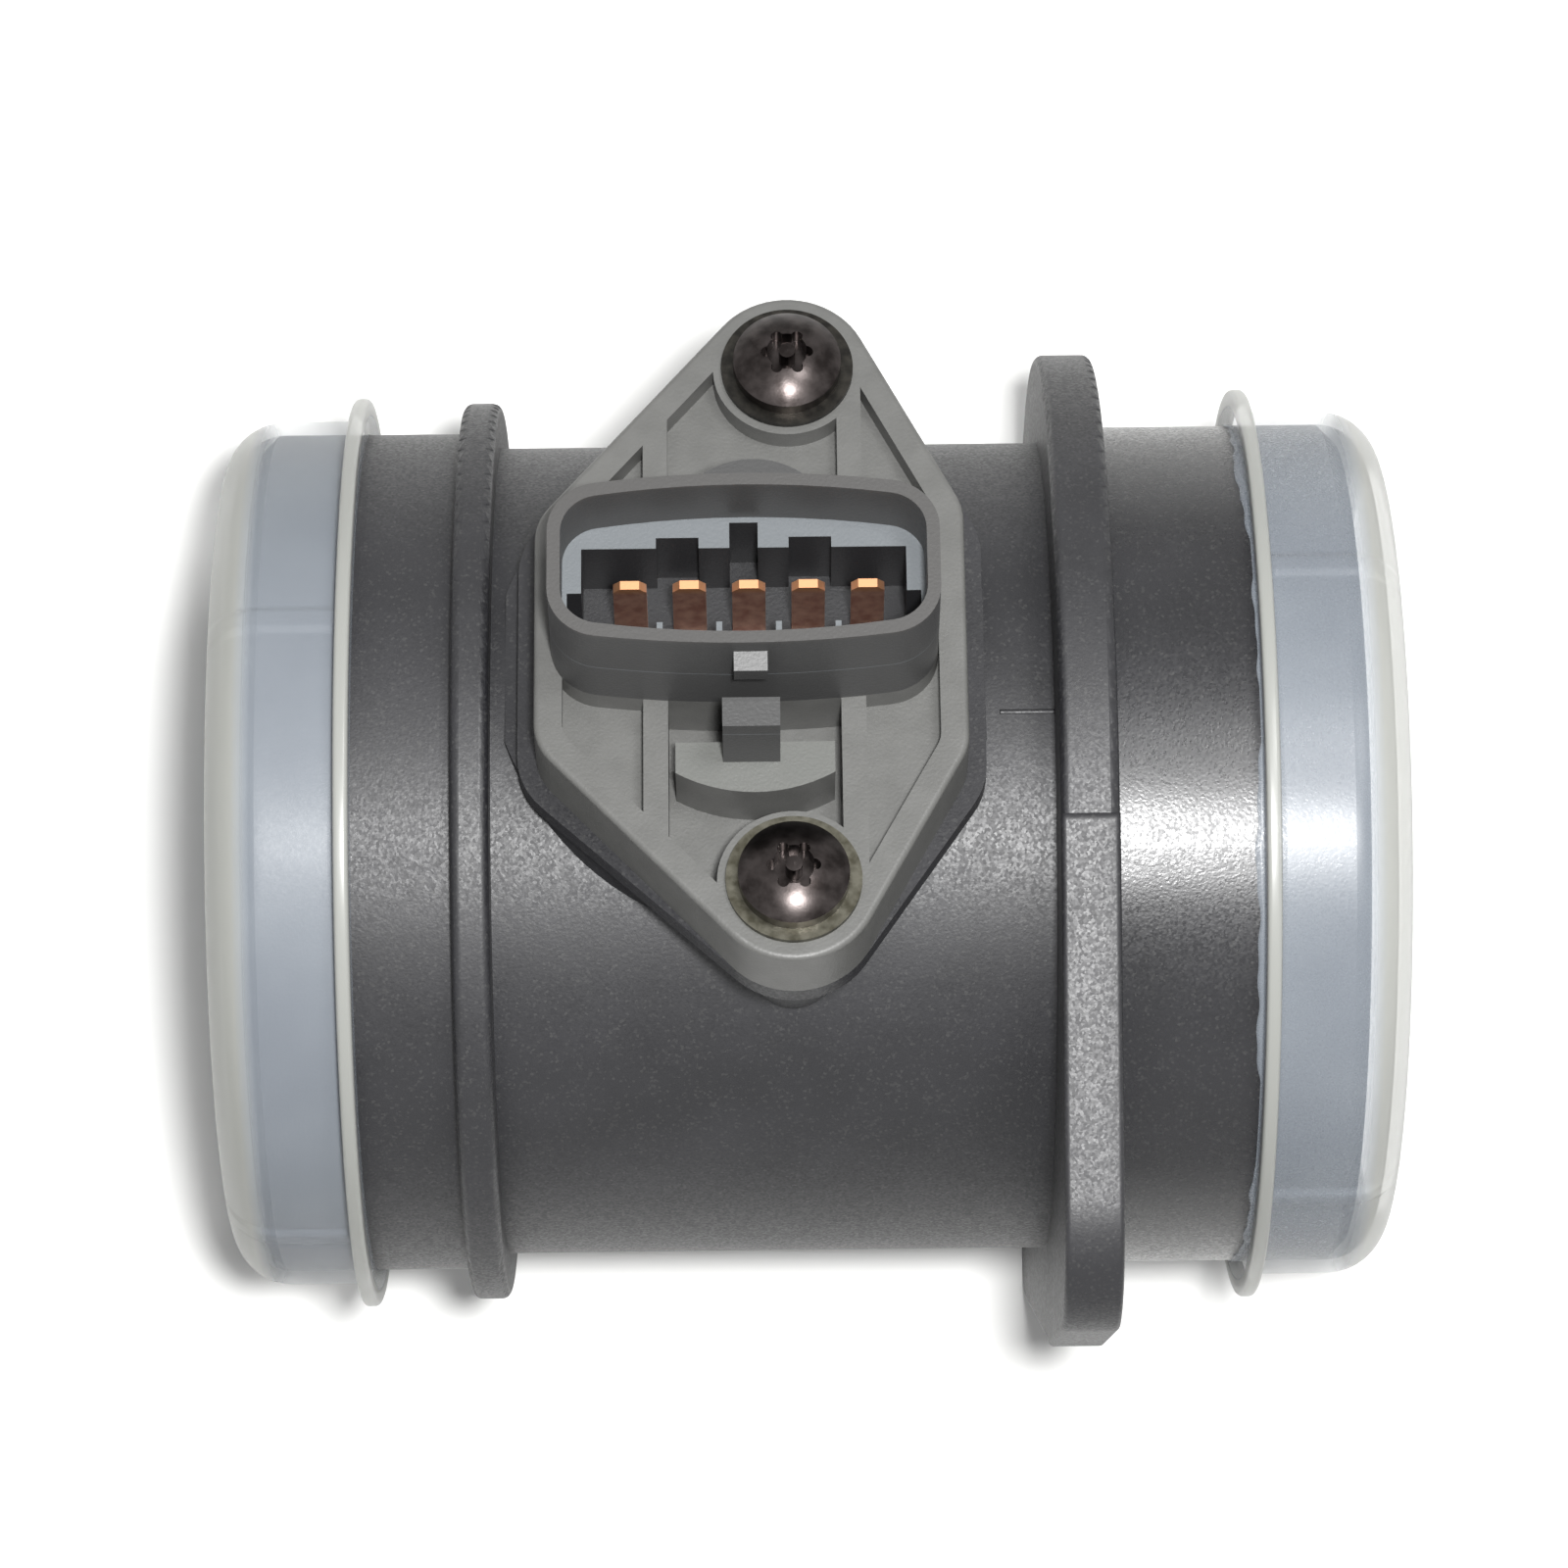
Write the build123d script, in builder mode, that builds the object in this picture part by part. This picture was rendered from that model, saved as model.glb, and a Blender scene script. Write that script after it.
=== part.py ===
"""Mass airflow sensor in its duct section, for the intake of a car engine.

A round moulded housing carries a plug-in hot-film sensor on a boss. The sensor's
measuring body hangs through the wall into the air stream, and its five-way
connector looks up and back. Translucent caps close both hose spigots.

Frame: origin at the centre of the inlet spigot's end, +X out of the inlet,
+Z up. The sensor leans from +Z towards +Y. All sizes are in millimetres.
"""

import os
from math import cos, radians, sin

from build123d import *

# ---------------------------------------------------------------- driving sizes

# Duct housing
bore_radius = 34.0
barrel_radius = 36.65
spigot_radius = 38.0
inlet_spigot_length = 21.9
collar_width = 5.0
barrel_length = 48.4
rib_width = 3.3
outlet_spigot_length = 18.2
rib_radius = 40.75
collar_radius = 44.6
edge_round = 0.8
spigot_chamfer = 1.4

# Foot of the collar: its squared lower corner, on the -Y side
foot_side = 44.8
foot_side_top = 11.2
foot_facet_angle = 43.5
foot_reach = 13.0
foot_corner_radius = 6.0

# Sensor seat on the housing
sensor_to_collar = 26.0
sensor_lean = 26.0
seat_height = 38.6
pad_thickness = 1.9
pad_overhang = 1.6
boss_radius = 21.8
boss_width = 41.2
boss_offset = -0.5
ear_radius = 6.2
ear_thickness = 2.2
ear_root_radius = 3.4
ear_root_height = 26.5

# Sensor flange
flange_thickness = 6.4
flange_half_width = 18.35
flange_corner_radius = 5.0
flange_tip_radius = 7.2
flange_rim = 2.4
flange_edge_round = 0.5
upper_left_corner = 8.0
upper_right_corner = 9.7
lower_left_corner = 9.5
lower_right_corner = 10.7
screw_offset = 3.4
screw_half_pitch = 24.4
screw_boss_radius = 6.4
pocket_depth = 2.2
latch_pocket_depth = 5.4
web_spacing = 16.7
web_width = 2.1
latch_offset = 0.3
smallest_pocket = 7.0

# Connector
shroud_offset = -0.5
shroud_lift = 0.2
shroud_length = 32.8
shroud_width = 13.2
shroud_bulge = 1.4
shroud_corner_radius = 4.5
shroud_wall = 1.1
shroud_height = 11.0
ledge_depth = 5.8
chamber_length = 27.4
chamber_top = 4.2
chamber_bottom = -4.4
chamber_side_notch = 1.2
chamber_floor_depth = 2.0
key_slot_spacing = 11.2
wide_slot_width = 3.6
wide_slot_depth = 1.0
middle_slot_width = 2.4
middle_slot_depth = 2.4
divider_width = 0.5
divider_depth = 1.6
bulge_width = 11.8
bulge_depth = 2.2
bulge_drop = 1.6

# Latch on the connector's lower side
latch_gap = 3.7
turret_radius = 13.1
turret_centre = -3.1
turret_side_gap = 0.6
stop_width = 4.8
stop_thickness = 1.9
stop_height = 6.8
stop_slope = 1.5
tooth_width = 2.8
tooth_reach = 1.5
tooth_drop = 1.4
tooth_height = 2.4
tooth_lead = 0.8

# Terminals
terminal_count = 5
terminal_pitch = 5.0
terminal_offset = -0.1
terminal_lift = 0.3
blade_width = 2.8
blade_thickness = 0.8
blade_tip_depth = 5.0
blade_point = 0.6
tail_width = 1.4
tail_pitch = 3.2
tail_offset = -1.75

# Plug neck and seal
neck_radius = 14.0
neck_clearance = 0.2
seal_cord = 2.2
seal_groove_width = 2.8
seal_depth = 2.2
neck_length = 6.6

# Measuring body
probe_length = 24.0
probe_thickness = 12.0
probe_tip = -12.0
probe_edge_radius = 2.2
cover_thickness = 1.2
cover_ledge = 1.0
cover_clearance = 0.1
window_rim = 1.4
electronics_width = 17.5
electronics_inset = 1.5
electronics_bottom = 10.0
electronics_top = 30.0
electronics_depth = 8.0
plate_thickness = 1.2
board_thickness = 0.8
board_margin = 0.6
board_top = 26.0
control_chip_width = 5.4
small_part_width = 1.4
small_part_pitch = 2.8
part_clearance = 0.1
channel_width = 5.0
channel_depth = 7.6
channel_low = -6.0
channel_high = 3.5
channel_back = -6.0
channel_end = 5.0
chip_width = 4.0
chip_thickness = 0.5
chip_reach = 4.0
chip_overlap = 2.0
chip_offset = -1.0

# Air temperature bead in the front edge of the measuring body
notch_width = 2.8
notch_bottom = 12.0
notch_top = 22.0
bead_radius = 1.0
bead_length = 4.0
lead_radius = 0.3
lead_seat = 1.0

# Screws, sleeves and inserts
screw_radius = 2.5
screw_reach = 13.0
head_radius = 4.65
head_edge = 1.2
head_dome = 1.7
socket_radius = 1.75
socket_lobe_radius = 0.5
socket_depth = 1.9
socket_pin_radius = 0.7
sleeve_radius = 3.9
sleeve_flange_radius = 5.7
sleeve_flange_thickness = 1.0
sleeve_stand = 0.5
sleeve_clearance = 0.25
insert_radius = 3.2
insert_length = 7.0
thread_clearance = 0.05

# Flow grid in the inlet
grid_radius = 35.3
grid_thickness = 7.0
grid_rim = 1.3
grid_setback = 3.0
grid_clearance = 0.1
cell_pitch = 6.2
cell_wall = 0.9
cell_rows = 11
smallest_cell = 7.0
clip_section = 1.2
clip_groove = 0.6
clip_opening = 16.0

# Dust caps
cap_wall = 1.2
cap_clearance = 0.05
cap_depth_inlet = 9.3
cap_depth_outlet = 9.6
cap_flange_radius = 41.3
cap_flange_thickness = 1.3
cap_overhang_inlet = 3.7
cap_overhang_outlet = 3.1
cap_shoulder_round = 5.0
cap_crown_inset = 4.6
cap_edge_round = 0.4
flute_width = 2.0
flute_height = 0.35
flute_turn_inlet = 38.1
flute_turn_outlet = 31.2

# ---------------------------------------------------------------- places

collar_front = -inlet_spigot_length
collar_back = collar_front - collar_width
rib_front = collar_back - barrel_length
rib_back = rib_front - rib_width
tube_end = rib_back - outlet_spigot_length
sensor_x = collar_back - sensor_to_collar

flange_top = seat_height + flange_thickness
pad_bottom = seat_height - pad_thickness
probe_top = seat_height - neck_length
ear_bottom = pad_bottom - ear_thickness
pocket_floor = flange_top - pocket_depth
latch_floor = flange_top - latch_pocket_depth
mouth_height = flange_top + shroud_height
ledge_height = mouth_height - ledge_depth
chamber_floor = flange_top - chamber_floor_depth
blade_tip = mouth_height - blade_tip_depth
half_shroud = shroud_width / 2 + shroud_bulge
shroud_low = shroud_lift - half_shroud
shroud_high = shroud_lift + half_shroud
latch_back = shroud_low - latch_gap
seal_height = seat_height - seal_depth
seat_hole_radius = neck_radius + neck_clearance
cover_face = probe_thickness / 2 - cover_thickness
electronics_floor = probe_thickness / 2 - electronics_depth
electronics_left = -probe_length / 2 + electronics_inset
electronics_centre = electronics_left + electronics_width / 2
board_face = electronics_floor + plate_thickness + board_thickness
head_seat = flange_top + sleeve_stand

across = Vector(0, cos(radians(sensor_lean)), -sin(radians(sensor_lean)))
outward = Vector(0, sin(radians(sensor_lean)), cos(radians(sensor_lean)))
along = Vector(1, 0, 0)
sensor_origin = Vector(sensor_x, 0, 0)

# Looking down on the sensor flange, looking at the measuring body's cover side,
# and looking along the duct at the sensor's section
plan_view = Plane(origin=sensor_origin, x_dir=along, z_dir=outward)
side_view = Plane(origin=sensor_origin, x_dir=along, z_dir=across * -1)
section_view = Plane(origin=sensor_origin, x_dir=across, z_dir=along)

screw_places = {"upper": (screw_offset, screw_half_pitch), "lower": (screw_offset, -screw_half_pitch)}

os.makedirs("parts", exist_ok=True)


def write_part(part, label):
    """Name a finished piece and write it as parts/label.step."""
    part.label = label
    export_step(part, f"parts/{label}.step")


def flange_corners():
    """Centres of the four corner rounds of the flange's outline."""
    inset = flange_half_width - flange_corner_radius
    return [
        (-inset, upper_left_corner),
        (inset, upper_right_corner),
        (-inset, -lower_left_corner),
        (inset, -lower_right_corner),
    ]


def flange_outline(tip_radius, corner_radius):
    """Draw the flange's lozenge: the hull of two tip rounds and four corner rounds."""
    with Locations(*screw_places.values()):
        Circle(tip_radius)
    with Locations(*flange_corners()):
        Circle(corner_radius)
    make_hull()


def shroud_outline(inset):
    """Draw the connector's outline, a long rounded box whose long sides are bowed."""
    left = shroud_offset - shroud_length / 2 + inset
    right = shroud_offset + shroud_length / 2 - inset
    low = shroud_lift - shroud_width / 2 + inset
    high = shroud_lift + shroud_width / 2 - inset
    with BuildLine() as outline:
        ThreePointArc((left, high), (shroud_offset, high + shroud_bulge), (right, high))
        Line((right, high), (right, low))
        ThreePointArc((right, low), (shroud_offset, low - shroud_bulge), (left, low))
        Line((left, low), (left, high))
    make_face(outline.edges())


def terminal_profile(index):
    """Outline of one blade with its jogged tail, seen from the cover side."""
    middle = (terminal_count - 1) / 2
    blade = terminal_offset + (index - middle) * terminal_pitch
    tail = tail_offset + (index - middle) * tail_pitch
    half_blade = blade_width / 2
    half_tail = tail_width / 2
    jog_top = chamber_floor - blade_width
    jog_bottom = probe_top + tail_width
    tail_end = board_top + tail_width / 2
    return [
        (blade - half_blade + blade_point, blade_tip),
        (blade + half_blade - blade_point, blade_tip),
        (blade + half_blade, blade_tip - blade_point),
        (blade + half_blade, jog_top),
        (tail + half_tail, jog_bottom),
        (tail + half_tail, tail_end),
        (tail - half_tail, tail_end),
        (tail - half_tail, jog_bottom),
        (blade - half_blade, jog_top),
        (blade - half_blade, blade_tip - blade_point),
    ]


# ---------------------------------------------------------------- terminals

terminal_face = side_view.offset(-terminal_lift - blade_thickness / 2)
terminals = []
for index in range(terminal_count):
    with BuildPart() as terminal:
        with BuildSketch(terminal_face):
            with BuildLine():
                Polyline(*terminal_profile(index), close=True)
            make_face()
        extrude(amount=blade_thickness)
    terminals.append(terminal.part)
    write_part(terminal.part, f"terminal_{index + 1}")

# ---------------------------------------------------------------- tube housing

facet_start = (
    -collar_radius * sin(radians(foot_facet_angle)),
    collar_radius * cos(radians(foot_facet_angle)),
)

with BuildPart() as tube_housing:
    # Collar with its squared foot, rounded along both rims
    with BuildSketch(Plane.YZ.offset(collar_back)):
        Circle(collar_radius)
        with BuildLine():
            Polyline(
                (0, 0),
                facet_start,
                (-foot_side, foot_side_top),
                (-foot_side, -collar_radius),
                (foot_reach, -collar_radius),
                close=True,
            )
        make_face()
        foot_corners = vertices().filter_by(
            lambda corner: corner.Y < -collar_radius / 2 and corner.X < -collar_radius / 2
        )
        fillet(foot_corners.sort_by(Axis.Y)[0], foot_corner_radius)
    extrude(amount=collar_width)
    fillet(tube_housing.faces().filter_by(Axis.X).edges(), edge_round)

    # Turned form of the spigots, the rib and the barrel between them
    with BuildSketch(Plane.XZ):
        with BuildLine():
            Polyline(
                (tube_end, 0),
                (tube_end, spigot_radius - spigot_chamfer),
                (tube_end + spigot_chamfer, spigot_radius),
                (rib_back, spigot_radius),
                (rib_back, rib_radius),
                (rib_front, rib_radius),
                (rib_front, barrel_radius),
                (collar_back + collar_width / 2, barrel_radius),
                (collar_back + collar_width / 2, spigot_radius),
                (-spigot_chamfer, spigot_radius),
                (0, spigot_radius - spigot_chamfer),
                (0, 0),
                close=True,
            )
        make_face()
        rib_corners = vertices().filter_by(lambda corner: abs(corner.Y - rib_radius) < 0.01)
        fillet(rib_corners, edge_round)
    revolve(axis=Axis.X)

    # Boss, seat pad and screw ears of the sensor
    with BuildSketch(plan_view):
        with Locations((boss_offset, 0)):
            Circle(boss_radius)
            Rectangle(boss_width, 2 * boss_radius, mode=Mode.INTERSECT)
    extrude(amount=pad_bottom)
    with BuildSketch(plan_view.offset(pad_bottom)):
        flange_outline(flange_tip_radius, flange_corner_radius + pad_overhang)
    extrude(amount=pad_thickness)
    for place in screw_places.values():
        with BuildSketch(plan_view.offset(ear_bottom)):
            with Locations(place):
                Circle(ear_radius)
        extrude(amount=ear_thickness)
        with BuildSketch(plan_view.offset(ear_root_height)):
            with Locations(place):
                Circle(ear_root_radius)
        with BuildSketch(plan_view.offset(ear_bottom)):
            with Locations(place):
                Circle(ear_radius)
        loft()

    # Seat faced flat above its plane, as wide as the pad
    with BuildSketch(plan_view.offset(seat_height)):
        flange_outline(flange_tip_radius, flange_corner_radius + pad_overhang)
    extrude(amount=flange_thickness, mode=Mode.SUBTRACT)

    # Bore with the grid's counterbore, the clip groove, the plug's seat and the insert holes
    with BuildSketch(Plane.YZ.offset(tube_end)):
        Circle(bore_radius)
    extrude(amount=-tube_end, mode=Mode.SUBTRACT)
    with BuildSketch(Plane.YZ):
        Circle(grid_radius + grid_clearance)
    extrude(amount=-grid_setback - grid_thickness, mode=Mode.SUBTRACT)
    with BuildSketch(Plane.YZ.offset(-grid_setback)):
        Circle(grid_radius + grid_clearance + clip_groove)
    extrude(amount=clip_section, mode=Mode.SUBTRACT)
    with BuildSketch(plan_view):
        Circle(seat_hole_radius)
    extrude(amount=seat_height, mode=Mode.SUBTRACT)
    with BuildSketch(plan_view.offset(seat_height)):
        with Locations(*screw_places.values()):
            Circle(insert_radius)
    extrude(amount=-insert_length, mode=Mode.SUBTRACT)
write_part(tube_housing.part, "tube_housing")

# ---------------------------------------------------------------- sensor body

web_inner = web_spacing / 2 - web_width / 2
pocket_reach = flange_half_width + screw_half_pitch
stop_front = latch_back - stop_thickness

with BuildPart() as sensor_body:
    # Flange, with its top edge eased
    with BuildSketch(plan_view.offset(seat_height)):
        flange_outline(flange_tip_radius, flange_corner_radius)
    extrude(amount=flange_thickness)
    top_face = sensor_body.faces().sort_by(Axis(sensor_origin, outward))[-1]
    fillet(top_face.edges(), flange_edge_round)

    # Shallow pockets that leave a rim, the screw bosses and two webs
    with BuildSketch(plan_view.offset(pocket_floor), mode=Mode.PRIVATE) as pockets:
        flange_outline(flange_tip_radius - flange_rim, flange_corner_radius - flange_rim)
        with Locations((latch_offset - web_spacing / 2, 0), (latch_offset + web_spacing / 2, 0)):
            Rectangle(web_width, 2 * pocket_reach, mode=Mode.SUBTRACT)
        with Locations(*screw_places.values()):
            Circle(screw_boss_radius, mode=Mode.SUBTRACT)
        with Locations((latch_offset, -pocket_reach / 2)):
            Rectangle(web_spacing - web_width, pocket_reach, mode=Mode.SUBTRACT)
    pocket_faces = [face for face in pockets.sketch.faces() if face.area > smallest_pocket]
    extrude(to_extrude=pocket_faces, amount=2 * pocket_depth, mode=Mode.SUBTRACT)

    # Deep pocket between the webs under the latch, and the turret left standing in it
    with BuildSketch(plan_view.offset(latch_floor), mode=Mode.PRIVATE) as latch_pocket:
        flange_outline(flange_tip_radius - flange_rim, flange_corner_radius - flange_rim)
        with Locations((latch_offset, shroud_lift - pocket_reach / 2)):
            Rectangle(2 * web_inner, pocket_reach, mode=Mode.INTERSECT)
        with Locations(*screw_places.values()):
            Circle(screw_boss_radius, mode=Mode.SUBTRACT)
    latch_faces = [face for face in latch_pocket.sketch.faces() if face.area > smallest_pocket]
    extrude(to_extrude=latch_faces, amount=2 * latch_pocket_depth, mode=Mode.SUBTRACT)
    with BuildSketch(plan_view.offset(latch_floor)):
        with Locations((latch_offset, turret_centre)):
            Circle(turret_radius)
        with Locations((latch_offset, latch_back - turret_radius / 2)):
            Rectangle(2 * (web_inner - turret_side_gap), turret_radius, mode=Mode.INTERSECT)
    extrude(amount=latch_pocket_depth)

    # Connector shroud, keyed bulge, ledge and contact chamber
    with BuildSketch(plan_view.offset(latch_floor)):
        shroud_outline(0)
        fillet(vertices(), shroud_corner_radius)
    extrude(amount=mouth_height - latch_floor)
    with BuildSketch(plan_view.offset(pocket_floor)):
        with BuildLine():
            ThreePointArc(
                (latch_offset - bulge_width / 2, shroud_high - shroud_wall),
                (latch_offset, shroud_high + bulge_depth),
                (latch_offset + bulge_width / 2, shroud_high - shroud_wall),
            )
            Line(
                (latch_offset + bulge_width / 2, shroud_high - shroud_wall),
                (latch_offset - bulge_width / 2, shroud_high - shroud_wall),
            )
        make_face()
    extrude(amount=mouth_height - bulge_drop - pocket_floor)
    with BuildSketch(plan_view.offset(ledge_height)):
        shroud_outline(shroud_wall)
        fillet(vertices(), shroud_corner_radius - shroud_wall)
    extrude(amount=ledge_depth, mode=Mode.SUBTRACT)
    with BuildSketch(plan_view.offset(chamber_floor)):
        with Locations((shroud_offset, (chamber_top + chamber_bottom) / 2)):
            Rectangle(chamber_length, chamber_top - chamber_bottom)
        with Locations((shroud_offset, chamber_bottom / 2)):
            Rectangle(chamber_length + 2 * chamber_side_notch, -chamber_bottom)
        with Locations(
            (shroud_offset - key_slot_spacing / 2, chamber_top),
            (shroud_offset + key_slot_spacing / 2, chamber_top),
        ):
            Rectangle(wide_slot_width, 2 * wide_slot_depth)
        with Locations((shroud_offset, chamber_top)):
            Rectangle(middle_slot_width, 2 * middle_slot_depth)
        with Locations((terminal_offset, chamber_bottom)):
            with GridLocations(terminal_pitch, 1, terminal_count - 1, 1):
                Rectangle(divider_width, 2 * divider_depth, mode=Mode.SUBTRACT)
    extrude(amount=ledge_height - chamber_floor, mode=Mode.SUBTRACT)

    # Gap behind the latch, the tooth on the shroud and the stop that guards it
    with BuildSketch(plan_view.offset(latch_floor)):
        with Locations((latch_offset, shroud_low - latch_gap / 2)):
            Rectangle(2 * web_inner, latch_gap)
    extrude(amount=flange_top - latch_floor, mode=Mode.SUBTRACT)
    with BuildSketch(section_view):
        with BuildLine():
            Polyline(
                (stop_front, latch_floor),
                (stop_front, flange_top + stop_height),
                (stop_front + stop_slope, flange_top + stop_height + stop_slope),
                (latch_back, flange_top + stop_height + stop_slope),
                (latch_back, flange_top + stop_height - stop_slope),
                (shroud_low + shroud_wall, flange_top - stop_slope),
                (shroud_low + shroud_wall, latch_floor),
                close=True,
            )
        make_face()
    extrude(amount=stop_width / 2, both=True)
    with BuildSketch(section_view):
        with BuildLine():
            Polyline(
                (shroud_low + shroud_wall / 2, mouth_height - tooth_drop),
                (shroud_low - tooth_reach, mouth_height - tooth_drop - tooth_lead),
                (shroud_low - tooth_reach, mouth_height - tooth_drop - tooth_height),
                (shroud_low + shroud_wall / 2, mouth_height - tooth_drop - tooth_height),
                close=True,
            )
        make_face()
    extrude(amount=tooth_width / 2, both=True)

    # Round neck with the seal's groove
    with BuildSketch(plan_view.offset(probe_top)):
        Circle(neck_radius)
    extrude(amount=neck_length)
    with BuildSketch(plan_view.offset(seal_height - seal_groove_width / 2)):
        Circle(neck_radius + neck_clearance)
        Circle(seat_hole_radius - seal_cord, mode=Mode.SUBTRACT)
    extrude(amount=seal_groove_width, mode=Mode.SUBTRACT)

    # Measuring body with rounded leading and trailing edges
    with BuildSketch(plan_view.offset(probe_tip)):
        RectangleRounded(probe_length, probe_thickness, probe_edge_radius)
    extrude(amount=probe_top - probe_tip)

    # Electronics bay and looped air channel, each with the recess for its cover
    with BuildSketch(side_view.offset(cover_face)):
        with Locations((electronics_centre, (electronics_bottom + electronics_top) / 2)):
            Rectangle(
                electronics_width + 2 * cover_ledge,
                electronics_top - electronics_bottom + 2 * cover_ledge,
            )
    extrude(amount=cover_thickness, mode=Mode.SUBTRACT)
    with BuildSketch(side_view.offset(electronics_floor)):
        with Locations((electronics_centre, (electronics_bottom + electronics_top) / 2)):
            Rectangle(electronics_width, electronics_top - electronics_bottom)
    extrude(amount=cover_face - electronics_floor, mode=Mode.SUBTRACT)
    channel_bottom = channel_low - channel_width / 2
    channel_ceiling = channel_high + channel_width / 2
    channel_cover_width = probe_length - 2 * window_rim
    with BuildSketch(side_view.offset(cover_face)):
        with Locations((0, (channel_bottom + channel_ceiling) / 2)):
            Rectangle(
                channel_cover_width,
                channel_ceiling - channel_bottom + 2 * cover_ledge,
            )
    extrude(amount=cover_thickness, mode=Mode.SUBTRACT)
    with BuildSketch(side_view.offset(probe_thickness / 2 - channel_depth)):
        with BuildLine():
            Polyline(
                (probe_length / 2 + channel_width, channel_low),
                (channel_back, channel_low),
                (channel_back, channel_high),
                (channel_end, channel_high),
            )
        trace(line_width=channel_width)
    extrude(amount=channel_depth - cover_thickness, mode=Mode.SUBTRACT)
    with BuildSketch(side_view.offset(-probe_thickness / 2)):
        with Locations((channel_end, channel_high)):
            Rectangle(channel_width, channel_width)
    extrude(amount=probe_thickness - channel_depth, mode=Mode.SUBTRACT)

    # Slot for the measuring chip between the bay and the channel
    with BuildSketch(side_view.offset(board_face - board_thickness / 2)):
        with Locations((chip_offset, (channel_ceiling + electronics_bottom) / 2)):
            Rectangle(
                chip_width + 2 * part_clearance,
                electronics_bottom - channel_ceiling + channel_width / 2,
            )
    extrude(amount=board_thickness / 2 + chip_thickness + part_clearance, mode=Mode.SUBTRACT)

    # Notch for the air temperature bead, with the holes its leads are set in
    notch_centre = probe_length / 2 - notch_width / 2
    with BuildSketch(side_view):
        with Locations((notch_centre + notch_width, (notch_bottom + notch_top) / 2)):
            Rectangle(3 * notch_width, notch_top - notch_bottom)
    extrude(amount=probe_thickness, both=True, mode=Mode.SUBTRACT)
    with BuildSketch(plan_view.offset(notch_bottom - lead_seat)):
        with Locations((notch_centre, 0)):
            Circle(lead_radius)
    extrude(amount=notch_top - notch_bottom + 2 * lead_seat, mode=Mode.SUBTRACT)

    # Sleeve seats, and the terminals moulded in
    with BuildSketch(plan_view.offset(seat_height)):
        with Locations(*screw_places.values()):
            Circle(sleeve_radius)
    extrude(amount=flange_thickness, mode=Mode.SUBTRACT)
    with BuildSketch(plan_view.offset(head_seat - sleeve_flange_thickness)):
        with Locations(*screw_places.values()):
            Circle(sleeve_flange_radius)
    extrude(amount=sleeve_flange_thickness, mode=Mode.SUBTRACT)
    for terminal_part in terminals:
        add(terminal_part, mode=Mode.SUBTRACT)
write_part(sensor_body.part, "sensor_body")

# ---------------------------------------------------------------- covers and electronics

with BuildPart() as electronics_cover:
    with BuildSketch(side_view.offset(cover_face)):
        with Locations((electronics_centre, (electronics_bottom + electronics_top) / 2)):
            Rectangle(
                electronics_width + 2 * (cover_ledge - cover_clearance),
                electronics_top - electronics_bottom + 2 * (cover_ledge - cover_clearance),
            )
    extrude(amount=cover_thickness)
write_part(electronics_cover.part, "electronics_cover")

with BuildPart() as channel_cover:
    with BuildSketch(side_view.offset(cover_face)):
        with Locations((0, (channel_bottom + channel_ceiling) / 2)):
            Rectangle(
                channel_cover_width - 2 * cover_clearance,
                channel_ceiling - channel_bottom + 2 * (cover_ledge - cover_clearance),
            )
    extrude(amount=cover_thickness)
write_part(channel_cover.part, "channel_cover")

with BuildPart() as base_plate:
    with BuildSketch(side_view.offset(electronics_floor)):
        with Locations((electronics_centre, (electronics_bottom + electronics_top) / 2)):
            RectangleRounded(
                electronics_width - 2 * part_clearance,
                electronics_top - electronics_bottom - 2 * part_clearance,
                edge_round,
            )
    extrude(amount=plate_thickness)
write_part(base_plate.part, "base_plate")

# Ceramic board with its control chip and the row of small parts soldered on it
board_bottom = electronics_bottom + board_margin
board_width = electronics_width - 2 * board_margin
with BuildPart() as circuit_board:
    with BuildSketch(side_view.offset(electronics_floor + plate_thickness)):
        with Locations((electronics_centre, (board_bottom + board_top) / 2)):
            Rectangle(board_width, board_top - board_bottom)
    extrude(amount=board_thickness)
    with BuildSketch(side_view.offset(board_face)):
        with Locations((electronics_centre, (board_bottom + board_top) / 2)):
            Rectangle(control_chip_width, control_chip_width)
            with GridLocations(board_width - 2 * tail_pitch, small_part_pitch, 2, 3):
                Rectangle(small_part_width, small_part_width)
    extrude(amount=board_thickness)
write_part(circuit_board.part, "circuit_board")

with BuildPart() as hot_film_chip:
    with BuildSketch(side_view.offset(board_face)):
        with Locations((chip_offset, (channel_ceiling - chip_reach + board_bottom + chip_overlap) / 2)):
            Rectangle(chip_width, board_bottom + chip_overlap - channel_ceiling + chip_reach)
    extrude(amount=chip_thickness)
write_part(hot_film_chip.part, "hot_film_chip")

with BuildPart() as air_temperature_bead:
    with BuildSketch(plan_view.offset(notch_bottom - lead_seat)):
        with Locations((notch_centre, 0)):
            Circle(lead_radius)
    extrude(amount=notch_top - notch_bottom + 2 * lead_seat)
    with BuildSketch(plan_view.offset((notch_bottom + notch_top - bead_length) / 2)):
        with Locations((notch_centre, 0)):
            Circle(bead_radius)
    extrude(amount=bead_length)
write_part(air_temperature_bead.part, "air_temperature_bead")

with BuildPart() as seal_ring:
    with BuildSketch(section_view):
        with Locations((seat_hole_radius - seal_cord / 2, seal_height)):
            Circle(seal_cord / 2)
    revolve(axis=Axis(sensor_origin, outward))
write_part(seal_ring.part, "seal_ring")

# ---------------------------------------------------------------- screws, sleeves, inserts

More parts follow.
